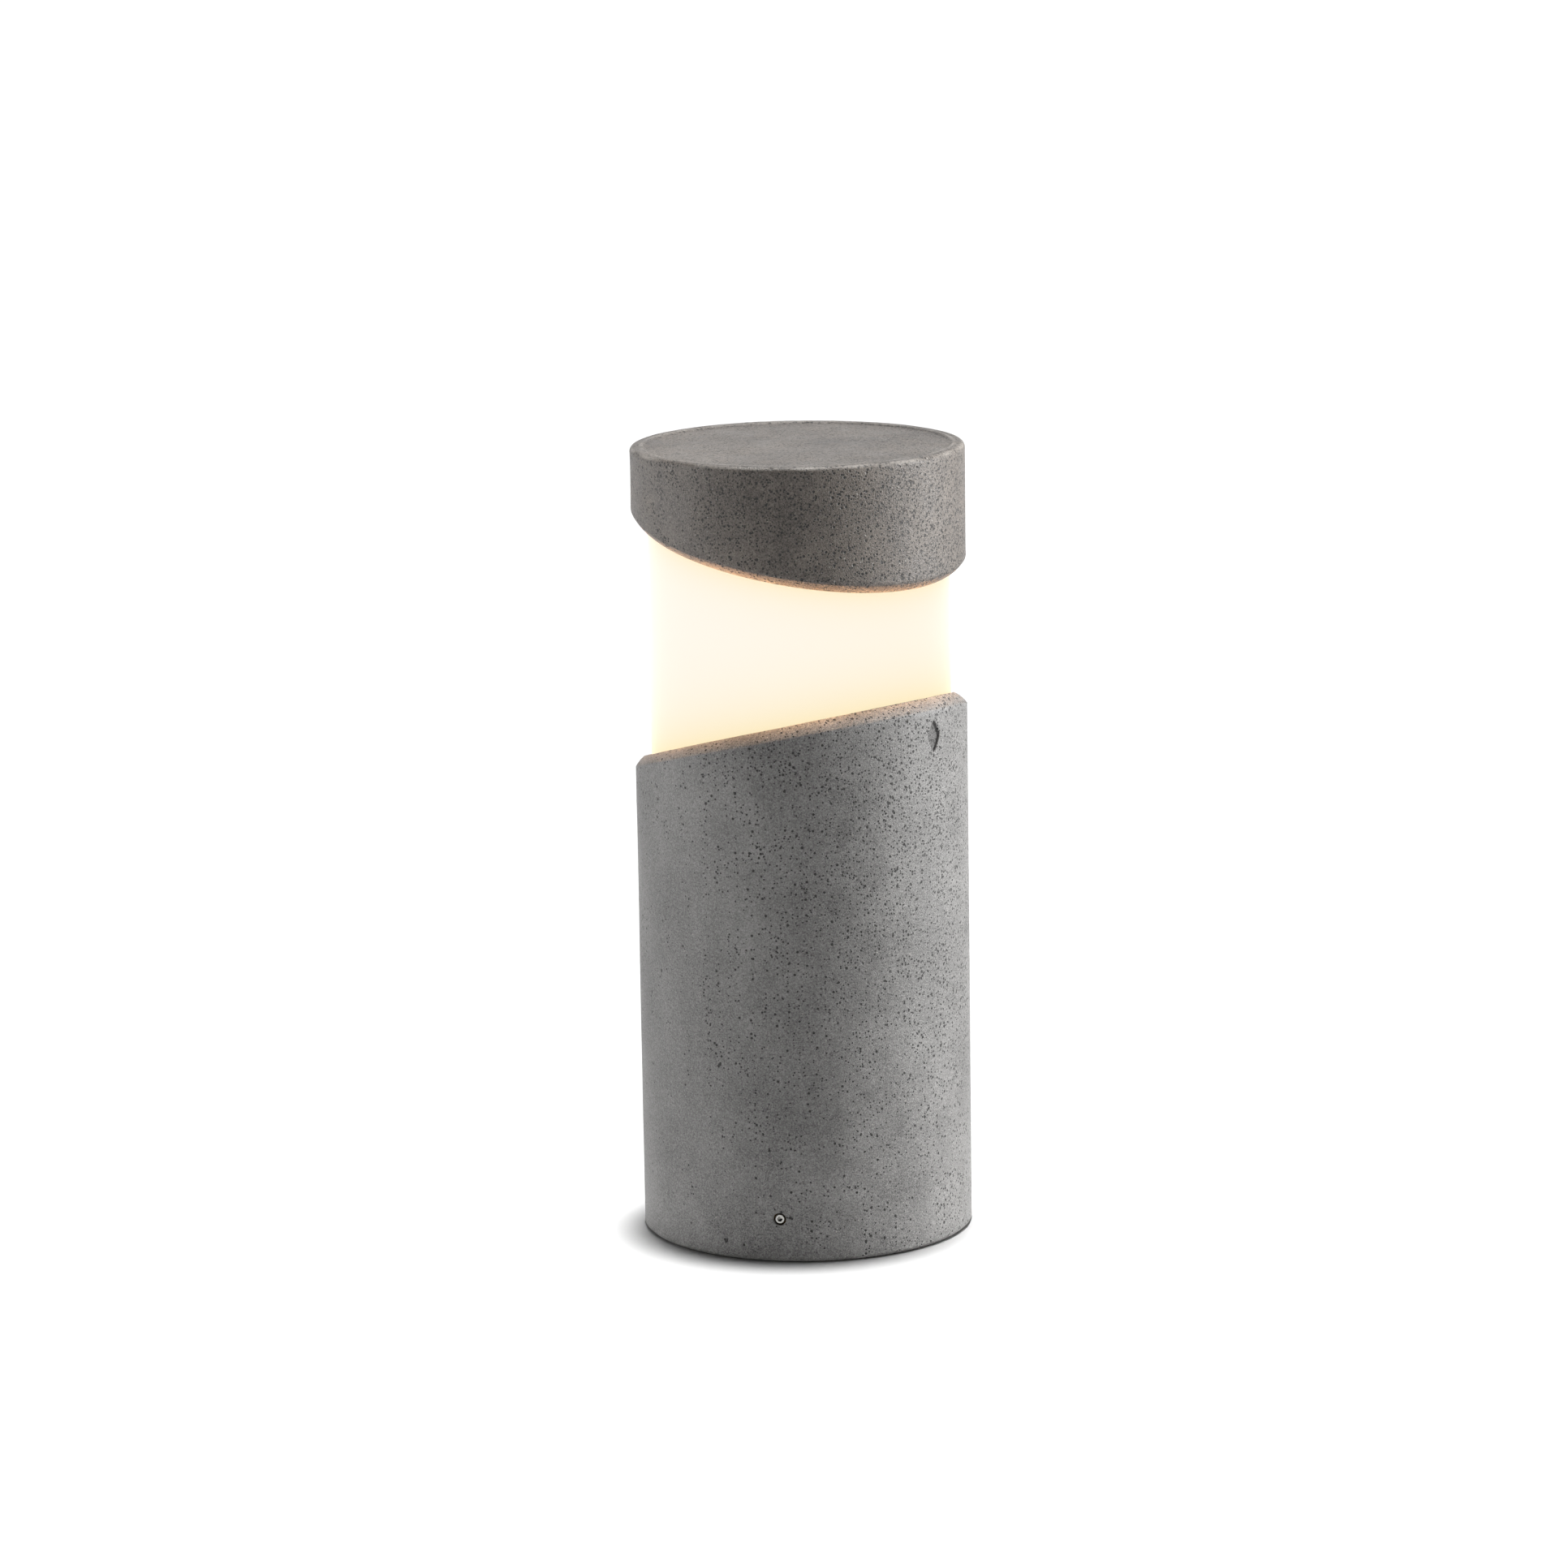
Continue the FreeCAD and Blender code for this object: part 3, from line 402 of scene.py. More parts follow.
def make_cap(settings):
    """Closed profile of the cap at every column: out over the shallow dish and its rim, down the
    wall, round the slanted underside, up the bore and in under the top slab."""
    turn = np.radians(STEP * np.arange(COLUMNS))
    level = 0 * turn
    top = TOTAL_H + wander(turn, 0, settings.cap_rim_wander, 11) - settings.cap_rim_wander
    floor_z = TOTAL_H - settings.dish_depth
    dish_r = OUTER_R - settings.cap_rim_width - settings.dish_bevel
    out = np.array([0.12, 0.3, 0.5, 0.7, 0.85, 0.95, 1.0])[:, None]
    uneven = wander(turn[None], 400 * out, 0.12, 13) * (1 - out ** 6)
    dish = (dish_r * out + level, floor_z + uneven)
    ease = arc_rows(EDGE_ROWS)[1:]
    bevel = (dish_r + settings.dish_bevel * ease + level,
             floor_z + (top - floor_z) * (3 * ease ** 2 - 2 * ease ** 3))
    small = settings.cap_fillet
    rim = between((bevel[0][-1], bevel[1][-1]), (OUTER_R - small + level, top), 3)
    quarter = arc_rows(EDGE_ROWS - 1)[1:] * math.pi / 2
    edge = (OUTER_R - small + small * np.sin(quarter) + level, top - small + small * np.cos(quarter))
    rise = -SOFFIT_SLOPE * np.cos(turn)
    corner = SOFFIT_Z + rise * OUTER_R + wander(turn, 0, settings.rim_wander, 17)
    under_r, under_z = edge_round(corner, rise, settings.soffit_fillet, -1, EDGE_ROWS)
    wall = between((edge[0][-1], edge[1][-1]), (OUTER_R + level, under_z[0]), 30)
    bump = np.abs(wander(turn[None], wall[1], settings.wall_wander, 19))
    calm = np.clip(np.minimum(wall[1] - corner, top - wall[1]) / CALM_CAP, 0, 1)
    wall = (wall[0][:-1] - (bump * calm)[:-1], wall[1][:-1])
    lip_r = TUBE_BORE_R + LIP_WIDTH
    lip_z = under_z[-1] - rise * (under_r[-1] - lip_r)
    lip = between((under_r[-1], under_z[-1]), (lip_r + level, lip_z), 4)
    inner = (TUBE_BORE_R + level, lip_z - rise * LIP_WIDTH + LIP_DROP)
    ceiling = (TUBE_BORE_R + level, CEILING_Z + level)
    ceiling_middle = (6 + level, CEILING_Z + level)
    parts = [dish, bevel, rim, edge, wall, (under_r, under_z), lip,
             between((lip[0][-1], lip[1][-1]), inner, 2), between(inner, ceiling, 8),
             between(ceiling, ceiling_middle, 4)]
    radius = np.concatenate([part[0] for part in parts])
    z = np.concatenate([part[1] for part in parts])
    skin = Skin()
    numbers = grid(skin, spin(radius, z, turn[None]), False)
    for ring, height in ((numbers[0], floor_z), (numbers[-1], CEILING_Z)):
        skin.fan(ring, int(skin.add([[0, 0, height]])[0]))
    return skin.mesh("concrete_cap", CREASE)


def make_tube(settings):
    """Opal tube with polished, slightly eased ends: a closed profile of (radius, z), up the outside
    and down the inside, carried round the axis."""
    inner = TUBE_R - settings.tube_wall
    ease = 0.4
    up = np.linspace(TUBE_Z0 + ease, TUBE_Z1 - ease, 40)
    outside = [np.full(len(up), TUBE_R), [TUBE_R - ease, inner + ease]]
    inside = [np.full(len(up), inner), [inner + ease, TUBE_R - ease]]
    radius = np.concatenate(outside + inside)
    z = np.concatenate([up, [TUBE_Z1, TUBE_Z1], up[::-1], [TUBE_Z0, TUBE_Z0]])
    turn = 2 * math.pi * np.arange(COLUMNS) / COLUMNS
    skin = Skin()
    grid(skin, spin(radius[:, None], z[:, None], turn[None]), True)
    return skin.mesh("opal_tube", 30)


# ---- materials

# Air pores in the concrete, small to large: (spacing in mm, bar that a cell's own number has to
# pass, largest radius in spacings), and the direction in which they crowd: towards the side where
# grazing light shows them most
PORES = ((1.6, 1.10, 0.33), (3.2, 1.04, 0.24), (8.0, 0.98, 0.125))
CROWD_SIDE = (0.55, -0.85, 0.35)


def add(tree, kind, inputs, **settings):
    """Adds one node and returns its outputs. inputs maps a socket to a value or to the output that
    feeds it, and settings are the node's own properties. By number, a colour Mix has its factor at
    0, its colours at 6 and 7 and its result at 2, and MapRange goes from 1..2 to 3..4."""
    node = tree.nodes.new("ShaderNode" + kind)
    for name, value in settings.items():
        setattr(node, name, value)
    for socket, source in inputs.items():
        if isinstance(source, bpy.types.NodeSocket):
            tree.links.new(source, node.inputs[socket])
        else:
            node.inputs[socket].default_value = source
    return node.outputs


def start(name):
    """A new material, its empty tree and its Object coordinates, which are in metres."""
    material = bpy.data.materials.new(name)
    material.use_nodes = True
    tree = material.node_tree
    tree.nodes.clear()
    return material, tree, add(tree, "TexCoord", {})["Object"]


def per_mm(size):
    """Scale of a pattern whose features are size mm across, on coordinates in metres."""
    return 1 / (size * MM)


def concrete(name, cement_hex, sand_hex, crowding, sheen):
    """Fair-faced fine concrete, cast against a smooth mould and lightly blasted: matt and cloudy,
    with grey and pale sand showing. Its air pores are coloured near black, which is painted shade in
    each hole, and crowd towards the side where grazing light shows them most;
    a few pale quartz grains carry painted glints. The sand is drawn 0.6 mm coarse so that it shows."""
    material, tree, place = start(name)
    cloud = add(tree, "TexNoise", {"Vector": place, "Scale": per_mm(55), "Detail": 4.0})[0]
    patch = add(tree, "TexNoise", {"Vector": place, "Scale": per_mm(15), "Detail": 3.0})[0]
    fines = add(tree, "TexNoise", {"Vector": place, "Scale": per_mm(0.68), "Detail": 2.0,
                                   "Roughness": 0.7})[0]
    sand = add(tree, "TexVoronoi", {"Vector": place, "Scale": per_mm(0.62)})
    grain = add(tree, "SeparateColor", {0: sand["Color"]})

    # tone: 0 is dark cement and 1 is pale sand, from clouds, patches, fines and single grains
    tone = -1.12
    for pattern, weight in ((cloud, 0.9), (patch, 0.5), (fines, 1.3), (grain[0], 0.5)):
        tone = add(tree, "Math", {0: pattern, 1: weight, 2: tone}, operation="MULTIPLY_ADD")[0]
    cement = add(tree, "Mix", {0: tone, 6: rgb(cement_hex), 7: rgb(sand_hex)}, data_type="RGBA",
                 clamp_factor=False)[2]

    # air pores: round cells, kept where a cell's own number passes a bar that falls in the crowd
    to_crowd = Vector(CROWD_SIDE) / (2 * OUTER_R * MM)
    side = add(tree, "VectorMath", {0: place, 1: to_crowd}, operation="DOT_PRODUCT")["Value"]
    crowd = crowding - 0.50
    for pattern, weight in ((side, 0.58), (patch, 1.6)):
        crowd = add(tree, "Math", {0: pattern, 1: weight, 2: crowd}, operation="MULTIPLY_ADD")[0]
    pores = 0.0
    for spacing, bar, size in PORES:
        cells = add(tree, "TexVoronoi", {"Vector": place, "Scale": per_mm(spacing)})
        chance = add(tree, "SeparateColor", {0: cells["Color"]})[0]
        over = add(tree, "Math", {0: chance, 1: crowd}, operation="ADD")[0]
        radius = add(tree, "MapRange", {0: over, 1: bar, 2: bar + 0.25, 3: 0.0, 4: size})[0]
        depth = add(tree, "Math", {0: radius, 1: cells["Distance"]}, operation="SUBTRACT")[0]
        pore = add(tree, "MapRange", {0: depth, 1: 0.0, 2: 0.06})[0]
        pores = add(tree, "Math", {0: pores, 1: pore}, operation="MAXIMUM")[0]

    # one grain in 250 is drawn pale: a quartz grain, partly its own pale colour and partly a painted
    # glint
    painted_glint = add(tree, "MapRange", {0: grain[1], 1: 0.996, 2: 1.0})[0]
    speckled = add(tree, "Mix", {0: painted_glint, 6: cement, 7: rgb("#94918C")}, data_type="RGBA")[2]
    # painted shade: the pores are coloured near black for the shadow inside each hole
    with_pore_shade = add(tree, "Mix", {0: pores, 6: speckled, 7: rgb("#171513")}, data_type="RGBA")[2]
    # grains stand up, and pores go in
    height = fines
    for pattern, weight in ((sand["Distance"], -0.45), (pores, -1.6)):
        height = add(tree, "Math", {0: pattern, 1: weight, 2: height}, operation="MULTIPLY_ADD")[0]
    relief = add(tree, "Bump", {"Height": height, "Distance": 0.25 * MM, "Strength": 1.0})[0]
    rough = add(tree, "MapRange", {0: patch, 1: 0.3, 2: 0.7, 3: sheen - 0.06, 4: sheen + 0.06})[0]
    shader = add(tree, "BsdfPrincipled", {"Base Color": with_pore_shade, "Roughness": rough, "IOR": 1.52,
                                          "Normal": relief})
    add(tree, "OutputMaterial", {"Surface": shader[0]})
    return material


def laid_over(material, share, colour):
    """Mixes a colour over the material's own by a share that other nodes work out."""
    tree = material.node_tree
    base = tree.nodes["Principled BSDF"].inputs["Base Color"]
    own = base.links[0].from_socket
    mixed = add(tree, "Mix", {0: share, 6: own, 7: rgb(colour)}, data_type="RGBA")[2]
    tree.links.new(mixed, base)


def section_of(tree):
    """Coordinates (distance from the axis, height, 0) of a point, in metres."""
    x, y, z = add(tree, "SeparateXYZ", {0: add(tree, "TexCoord", {})["Object"]})
    level = add(tree, "CombineXYZ", {0: x, 1: y})[0]
    radius = add(tree, "VectorMath", {0: level}, operation="LENGTH")["Value"]
    return add(tree, "CombineXYZ", {0: radius, 1: z})[0]


def paint_rim_highlight(material, settings):
    """The two edges of the cap's rim with painted highlights: a pale line about 1 mm either side,
    for the light that the rounded edges catch.
    """
    tree = material.node_tree
    section = section_of(tree)
    place = add(tree, "TexCoord", {})["Object"]
    patch = add(tree, "TexNoise", {"Vector": place, "Scale": per_mm(16), "Detail": 3.0})[0]
    patch = add(tree, "MapRange", {0: patch, 1: 0.35, 2: 0.65})[0]
    for inset, drop, most in ((0.9, 0.9, 0.45), (settings.cap_rim_width, 0.0, 0.35)):
        edge = ((OUTER_R - inset) * MM, (TOTAL_H - drop) * MM, 0)
        away = add(tree, "VectorMath", {0: section, 1: edge}, operation="DISTANCE")["Value"]
        share = add(tree, "MapRange", {0: away, 1: 0.4 * MM, 2: 1.5 * MM, 3: most, 4: 0.0})[0]
        share = add(tree, "Math", {0: share, 1: patch}, operation="MULTIPLY")[0]
        # painted highlight along the edge, broken up by the patches
        laid_over(material, share, "#A8A39C")


def paint_mark_shade(material, settings):
    """The sunk lozenge, with painted shade: darker than the wall
    where the surface lies more than 0.3 mm behind it, for the shadow inside the recess."""
    tree = material.node_tree
    turn = math.radians(settings.lozenge_angle)
    centre = (OUTER_R * MM * math.sin(turn), -OUTER_R * MM * math.cos(turn), settings.lozenge_z * MM)
    place = add(tree, "TexCoord", {})["Object"]
    away = add(tree, "VectorMath", {0: place, 1: centre}, operation="DISTANCE")["Value"]
    near = add(tree, "MapRange", {0: away, 1: 10 * MM, 2: 12 * MM, 3: 0.6, 4: 0.0})[0]
    radius = add(tree, "SeparateXYZ", {0: section_of(tree)})[0]
    sunk = add(tree, "MapRange", {0: radius, 1: (OUTER_R - 0.3) * MM, 2: (OUTER_R - 0.8) * MM})[0]
    share = add(tree, "Math", {0: near, 1: sunk}, operation="MULTIPLY")[0]
    # painted shade in the recess
    laid_over(material, share, "#1C1A18")


def near_edge(tree, place, height, slope, reach):
    """A glow's share beside the edge of a slanted opening: exp of minus the distance above or below
    the plane z = height + slope y, in units of reach, which is negative for the upper edge."""
    _, y, z = add(tree, "SeparateXYZ", {0: place})
    plane = add(tree, "Math", {0: y, 1: slope, 2: height * MM}, operation="MULTIPLY_ADD")[0]
    away = add(tree, "Math", {0: z, 1: plane}, operation="SUBTRACT")[0]
    steps = add(tree, "Math", {0: away, 1: -1 / (reach * MM)}, operation="MULTIPLY")[0]
    capped = add(tree, "Math", {0: steps, 1: 0.0}, operation="MINIMUM")[0]
    return add(tree, "Math", {0: capped}, operation="EXPONENT")[0]


def opal(settings):
    """Opal acrylic tube, extruded and polished: a milky satin wall, which glows evenly
    and turns warm beside the concrete, where the light has bounced off it."""
    material, tree, place = start("opal_acrylic")
    low = near_edge(tree, place, RIM_Z, RIM_SLOPE, 18)
    high = near_edge(tree, place, SOFFIT_Z, SOFFIT_SLOPE, -9)
    share = add(tree, "Math", {0: high, 1: 0.85, 2: low}, operation="MULTIPLY_ADD")[0]
    glow = add(tree, "Mix", {0: share, 6: (*settings.glow_middle, 1), 7: (*settings.glow_edge, 1)},
               data_type="RGBA")[2]
    shader = add(tree, "BsdfPrincipled", {
        "Base Color": rgb("#333334"), "Roughness": 0.35, "IOR": 1.49, "Specular IOR Level": 0.08,
        "Emission Color": glow, "Emission Strength": settings.glow_strength})
    add(tree, "OutputMaterial", {"Surface": shader[0]})
    return material


def plain(name, colour, roughness, metallic=0.0, grain=1.0, relief=0.05, tint=0.12, coat=0.0):
    """A moulded, plated or painted finish: its colour varies by about tint in 14 mm patches, and
    its surface has a fine grain of the given size and height in mm."""
    material, tree, place = start(name)
    fine = add(tree, "TexNoise", {"Vector": place, "Scale": per_mm(grain), "Detail": 3.0})[0]
    broad = add(tree, "TexNoise", {"Vector": place, "Scale": per_mm(14), "Detail": 2.0})[0]
    base = rgb(colour)
    darker = [c * (1 - 2 * tint) for c in base[:3]] + [1]
    lighter = [min(1, c * (1 + tint)) for c in base[:3]] + [1]
    mixed = add(tree, "Mix", {0: broad, 6: darker, 7: lighter}, data_type="RGBA")[2]
    rough = add(tree, "MapRange", {0: fine, 3: roughness - 0.08, 4: roughness + 0.08})[0]
    bump = add(tree, "Bump", {"Height": fine, "Distance": relief * MM, "Strength": 0.6})[0]
    shader = add(tree, "BsdfPrincipled", {"Base Color": mixed, "Metallic": metallic,
                                          "Roughness": rough, "Normal": bump, "Coat Weight": coat})
    add(tree, "OutputMaterial", {"Surface": shader[0]})
    return material


def galvanised():
    """Hot-dip galvanised sheet: dull grey zinc in large frosty crystals."""
    material, tree, place = start("galvanised_zinc")
    spangle = add(tree, "TexVoronoi", {"Vector": place, "Scale": per_mm(7)})
    tone = add(tree, "SeparateColor", {0: spangle["Color"]})[0]
    mixed = add(tree, "Mix", {0: tone, 6: rgb("#8C9194"), 7: rgb("#B4B8BA")}, data_type="RGBA")[2]
    rough = add(tree, "MapRange", {0: tone, 3: 0.32, 4: 0.5})[0]
    shader = add(tree, "BsdfPrincipled", {"Base Color": mixed, "Metallic": 1.0, "Roughness": rough})
    add(tree, "OutputMaterial", {"Surface": shader[0]})
    return material


def dress(material, slot, *nodes):
    """Gives CAD nodes that stay visible their finish."""
    for node in nodes:
        piece = frame["nodes"][node]
        piece.data.materials.clear()
        piece.data.materials.append(material)


def finish_piece(piece, material, body, slot, *nodes):
    """Gives a new piece its finish and its body, and hides the CAD nodes that it stands for."""
    piece.data.materials.append(material)
    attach(piece, body)
    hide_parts(*nodes)


# ---- add-on

def number(name, description, default, *limits, **more):
    """A setting that is one number, kept between limits where they are given."""
    more.update(zip(("min", "max"), limits))
    return bpy.props.FloatProperty(name=name, description=description, default=default, **more)


def light_colour(name, description, default):
    """A setting that is the linear colour of a light."""
    return bpy.props.FloatVectorProperty(name=name, description=description, default=default,
                                         subtype="COLOR")


class ConcreteSettings(bpy.types.PropertyGroup):
    rim_fillet: number("Rim fillet", "Radius of the body's upper outer edge, in mm", 5.5, 1, 7)
    soffit_fillet: number("Soffit fillet", "Radius of the cap's lower outer edge, in mm", 4.5, 1, 7)
    foot_chamfer: number("Foot chamfer", "Small chamfer round the foot, in mm", 1.8, 0.1, 3)
    cap_fillet: number("Cap fillet", "Radius of the cap's upper outer edge, in mm", 2.6, 0.5, 5)
    cap_rim_width: number("Cap rim", "From the wall to the top of the dish, in mm", 5.6, 3, 15)
    dish_depth: number("Dish depth", "Depth of the dish in the cap's top, in mm", 1.0, 0, 5)
    dish_bevel: number("Dish bevel", "Width of the slope into the dish, in mm", 2.4, 0.5, 10)
    rim_wander: number("Rim wander", "How far the slanted edges stray, in mm", 0.22, 0, 1)
    cap_rim_wander: number("Cap rim wander", "How far the cap's top rim strays, in mm", 0.15, 0, 1)
    wall_wander: number("Wall wander", "Unevenness of the cast walls, in mm", 0.16, 0, 1)
    lozenge_angle: number("Lozenge angle", "From -Y towards +X, in degrees", 6.6)
    lozenge_z: number("Lozenge height", "Height of the recess's centre, in mm", 258.0)
    lozenge_width: number("Lozenge width", "In mm", 9.6, 2, 14)
    lozenge_height: number("Lozenge length", "In mm", 17.0, 2, 19)
    lozenge_depth: number("Lozenge depth", "In mm", 1.2, 0.1, 2)


class GlowSettings(bpy.types.PropertyGroup):
    tube_wall: number("Tube wall", "Wall of the opal tube, in mm", 3.0, 1, 6)
    glow_strength: number("Glow", "Strength of the tube's own light", 1.0, 0, 10)
    glow_middle: light_colour("Glow of the wall", "Linear colour of the tube's light there",
                              (0.99, 0.925, 0.825))
    glow_edge: light_colour("Glow beside the concrete", "Linear colour of the tube's light there",
                            (0.965, 0.82, 0.53))
    rim_spill: number("Spill on the rim", "Warm light on the body's edge, in W per panel", 0.062)
    soffit_spill: number("Spill on the soffit", "Warm light on the cap's edge, in W per panel", 0.19)
    spill_colour: light_colour("Spill colour", "Linear colour of that light", (1.0, 0.53, 0.24))


class StageSettings(bpy.types.PropertyGroup):
    camera_angle: number("Camera angle", "From -Y towards +X, in degrees", -45.09)
    camera_distance: number("Camera distance", "Level distance from the axis, in m", 2.9304,
                            subtype="DISTANCE")
    camera_height: number("Camera height", "In m", 0.81607, subtype="DISTANCE")
    camera_yaw: number("Camera yaw", "Turn away from the axis, in degrees", 0.1768)
    camera_pitch: number("Camera pitch", "In degrees", -11.4064)
    camera_roll: number("Camera roll", "In degrees", -0.8891)
    camera_lens: number("Lens", "Focal length on a 36 mm sensor, in mm", 137.12)
    overhead: number("Overhead light", "Irradiance of the object from above, in W/m2", 4.5)
    floor_wash: number("Floor wash", "Irradiance of the floor from above, in W/m2", 4.4)
    foot_bounce: number("Foot bounce", "Light off the ground round the foot, in W", 0.085)
    backdrop: number("Backdrop", "Radiance of the wall behind the object", 1.0, 0)
    fill: number("Fill", "Radiance of the room all round", 0.04, 0)
    side_right: number("Right softbox", "In W", 39.5)
    side_left: number("Left softbox", "In W", 16.0)


class BOLLARD_OT_concrete(bpy.types.Operator):
    """Make the concrete body and cap"""
    bl_idname = "bollard.concrete"
    bl_label = "Concrete body and cap"

    def execute(self, context):
        settings = context.scene.bollard_concrete
        body_finish = concrete("cast_concrete_body", "#444342", "#8B8A88", 0.06, 0.49)
        cap_finish = concrete("cast_concrete_cap", "#1D1816", "#787068", 0.27, 0.44)
        # painted shade in the lozenge recess
        paint_mark_shade(body_finish, settings)
        # painted highlights along the cap's rim edges
        paint_rim_highlight(cap_finish, settings)
        finish_piece(make_body(settings), body_finish, "shell", "fine_concrete", "lower_housing")
        finish_piece(make_cap(settings), cap_finish, "shell", "fine_concrete", "cap")
        return {"FINISHED"}


class BOLLARD_OT_tube(bpy.types.Operator):
    """Make the glowing opal tube and dress its seals"""
    bl_idname = "bollard.tube"
    bl_label = "Opal tube"

    def execute(self, context):
        settings = context.scene.bollard_glow
        finish_piece(make_tube(settings), opal(settings), "shell", "opal_acrylic", "diffuser")
        # silicone, gunned in and smoothed: off-white, satin and slightly lumpy
        silicone = plain("silicone_bead", "#C9C7C0", 0.45, relief=0.08)
        dress(silicone, "silicone_seal", "diffuser_lower_seal", "diffuser_upper_seal")
        return {"FINISHED"}


class BOLLARD_OT_metalwork(bpy.types.Operator):
    """Dress the ground plate, bracket, screws and inserts"""
    bl_idname = "bollard.metalwork"
    bl_label = "Metalwork"

    def execute(self, context):
        # aluminium, die cast: a dull mid grey with a fine, even skin
        cast = plain("die_cast_aluminium", "#9EA0A2", 0.48, 1.0, grain=0.8, relief=0.06, tint=0.08)
        # bright zinc plate on steel: pale and slightly blue, with a low shine
        zinc = plain("zinc_plate", "#B9BCBF", 0.3, 1.0, grain=0.5, relief=0.02, tint=0.06)
        # stainless steel, turned and tumbled: warm grey and shiny
        stainless = plain("stainless_steel", "#A9A8A4", 0.18, 1.0, grain=0.4, relief=0.015,
                          tint=0.05)
        # stove enamel on a pressed disc: even white, smooth and a little glossy
        enamel = plain("white_enamel", "#DEDDD8", 0.35, grain=1.2, relief=0.03, tint=0.02, coat=0.3)
        # brass, turned, then tarnished by wet cement: a dull dark brown
        dark_brass = plain("tarnished_brass", "#40341F", 0.5, 1.0, grain=0.4, relief=0.02, tint=0.1)
        dress(cast, "cast_aluminium", "base_plate")
        dress(galvanised(), "galvanised_sheet", "gear_bracket")
        dress(enamel, "white_enamel", "cap_reflector")
        dress(dark_brass, "insert_brass", "screw_inserts")
        dress(zinc, "zinc_screw", "bracket_screws", "box_screws", "box_lid_screws",
              "reflector_screws", "lampholder_screws", "earth_screw")
        dress(stainless, "stainless_screw", "grub_screw_1", "grub_screw_2", "grub_screw_3")
        return {"FINISHED"}


class BOLLARD_OT_wiring(bpy.types.Operator):
    """Dress the terminal box, gland and leads"""
    bl_idname = "bollard.wiring"
    bl_label = "Wiring"

    def execute(self, context):
        # ABS, moulded in a spark-eroded tool: even cool grey with a fine texture
        grey = plain("grey_abs", "#9A9C9E", 0.5, tint=0.04)
        # nylon, moulded: creamy and waxy where it has no pigment, satin where it is black
        nylon = plain("natural_nylon", "#DAD6C8", 0.42, tint=0.04)
        black = plain("black_nylon", "#1C1D1F", 0.42, tint=0.1)
        # rubber, moulded: matt black with a faint bloom
        rubber = plain("black_rubber", "#161616", 0.7, relief=0.08, tint=0.15)
        # nickel brass, turned: a pale, bright yellow metal
        brass = plain("nickel_brass", "#B9A77C", 0.3, 1.0, grain=0.4, relief=0.02)
        dress(grey, "grey_box_plastic", "terminal_box", "terminal_box_lid")
        dress(nylon, "block_nylon", "terminal_block")
        dress(brass, "insert_brass", "terminal_screws")
        dress(black, "black_nylon", "gland_body", "gland_locknut", "gland_dome_nut")
        dress(rubber, "black_rubber", "gland_seal", "lead_grommets")
        # silicone rubber, extruded over the wire: full colours with a soft satin; the earth lead's
        # green and yellow run into one patchy colour
        leads = (("live_lead", "brown_silicone", "#5B3420", 0.08),
                 ("neutral_lead", "blue_silicone", "#2B5FA8", 0.08),
                 ("earth_lead", "green_yellow_silicone", "#7FA02A", 0.3))
        for lead, finish, colour, tint in leads:
            dress(plain(finish, colour, 0.45, tint=tint), finish, lead)
        return {"FINISHED"}


class BOLLARD_OT_lamp(bpy.types.Operator):
    """Dress the lampholder and the lamp"""
    bl_idname = "bollard.lamp"
    bl_label = "Lampholder and lamp"

    def execute(self, context):
        # porcelain, pressed and glazed: off-white under a hard clear gloss
        porcelain = plain("glazed_porcelain", "#CFCBC0", 0.15, grain=2.0, relief=0.03, tint=0.03,
                          coat=0.6)
        # brass, pressed from strip: yellow and bright, with a faint grain
        brass = plain("pressed_brass", "#C4A05C", 0.3, 1.0, grain=0.4, relief=0.02)
        # nickel plate on a pressed cap: warm silver
        nickel = plain("nickel_plate", "#C3C0B8", 0.25, 1.0, grain=0.5, relief=0.02)
        # black glass, fused in: near black with a wet gloss
        glass = plain("vitrite_glass", "#0E0E12", 0.12, coat=0.5)
        # PBT, moulded: an even satin white
        white = plain("white_pbt", "#C9C8C4", 0.4, tint=0.03)
        # opal polycarbonate, blown: milky white and satin
        milky = plain("opal_polycarbonate", "#D8D5CC", 0.3, tint=0.02)
        dress(porcelain, "porcelain", "lampholder_body")
        dress(brass, "insert_brass", "lampholder_shell", "lampholder_contact")
        dress(nickel, "lamp_nickel", "lamp_screw_cap", "lamp_contact")
        dress(glass, "black_vitrite", "lamp_insulator")
        dress(white, "lamp_white_plastic", "lamp_housing")
        dress(milky, "lamp_opal_plastic", "lamp_globe")
        return {"FINISHED"}


def make_camera(settings):
    """A camera at an angle round the light that looks back at it."""
    angle = math.radians(settings.camera_angle)
    heading = angle + math.radians(settings.camera_yaw)
    pitch, roll = math.radians(settings.camera_pitch), math.radians(settings.camera_roll)
    level = math.cos(pitch)
    forward = Vector((-math.sin(heading) * level, math.cos(heading) * level, math.sin(pitch)))
    right = forward.cross(Vector((0, 0, 1))).normalized()
    up = right.cross(forward)
    turned_right = right * math.cos(roll) + up * math.sin(roll)
    turned_up = up * math.cos(roll) - right * math.sin(roll)
    camera = put("camera", bpy.data.cameras.new("camera"))
    distance = settings.camera_distance
    place = Vector((math.sin(angle) * distance, -math.cos(angle) * distance, settings.camera_height))
    turn = Matrix((turned_right, turned_up, -forward)).transposed().to_4x4()
    camera.matrix_world = Matrix.Translation(place) @ turn
    camera.data.lens = settings.camera_lens
    camera.data.clip_end = 200
    bpy.context.scene.camera = camera


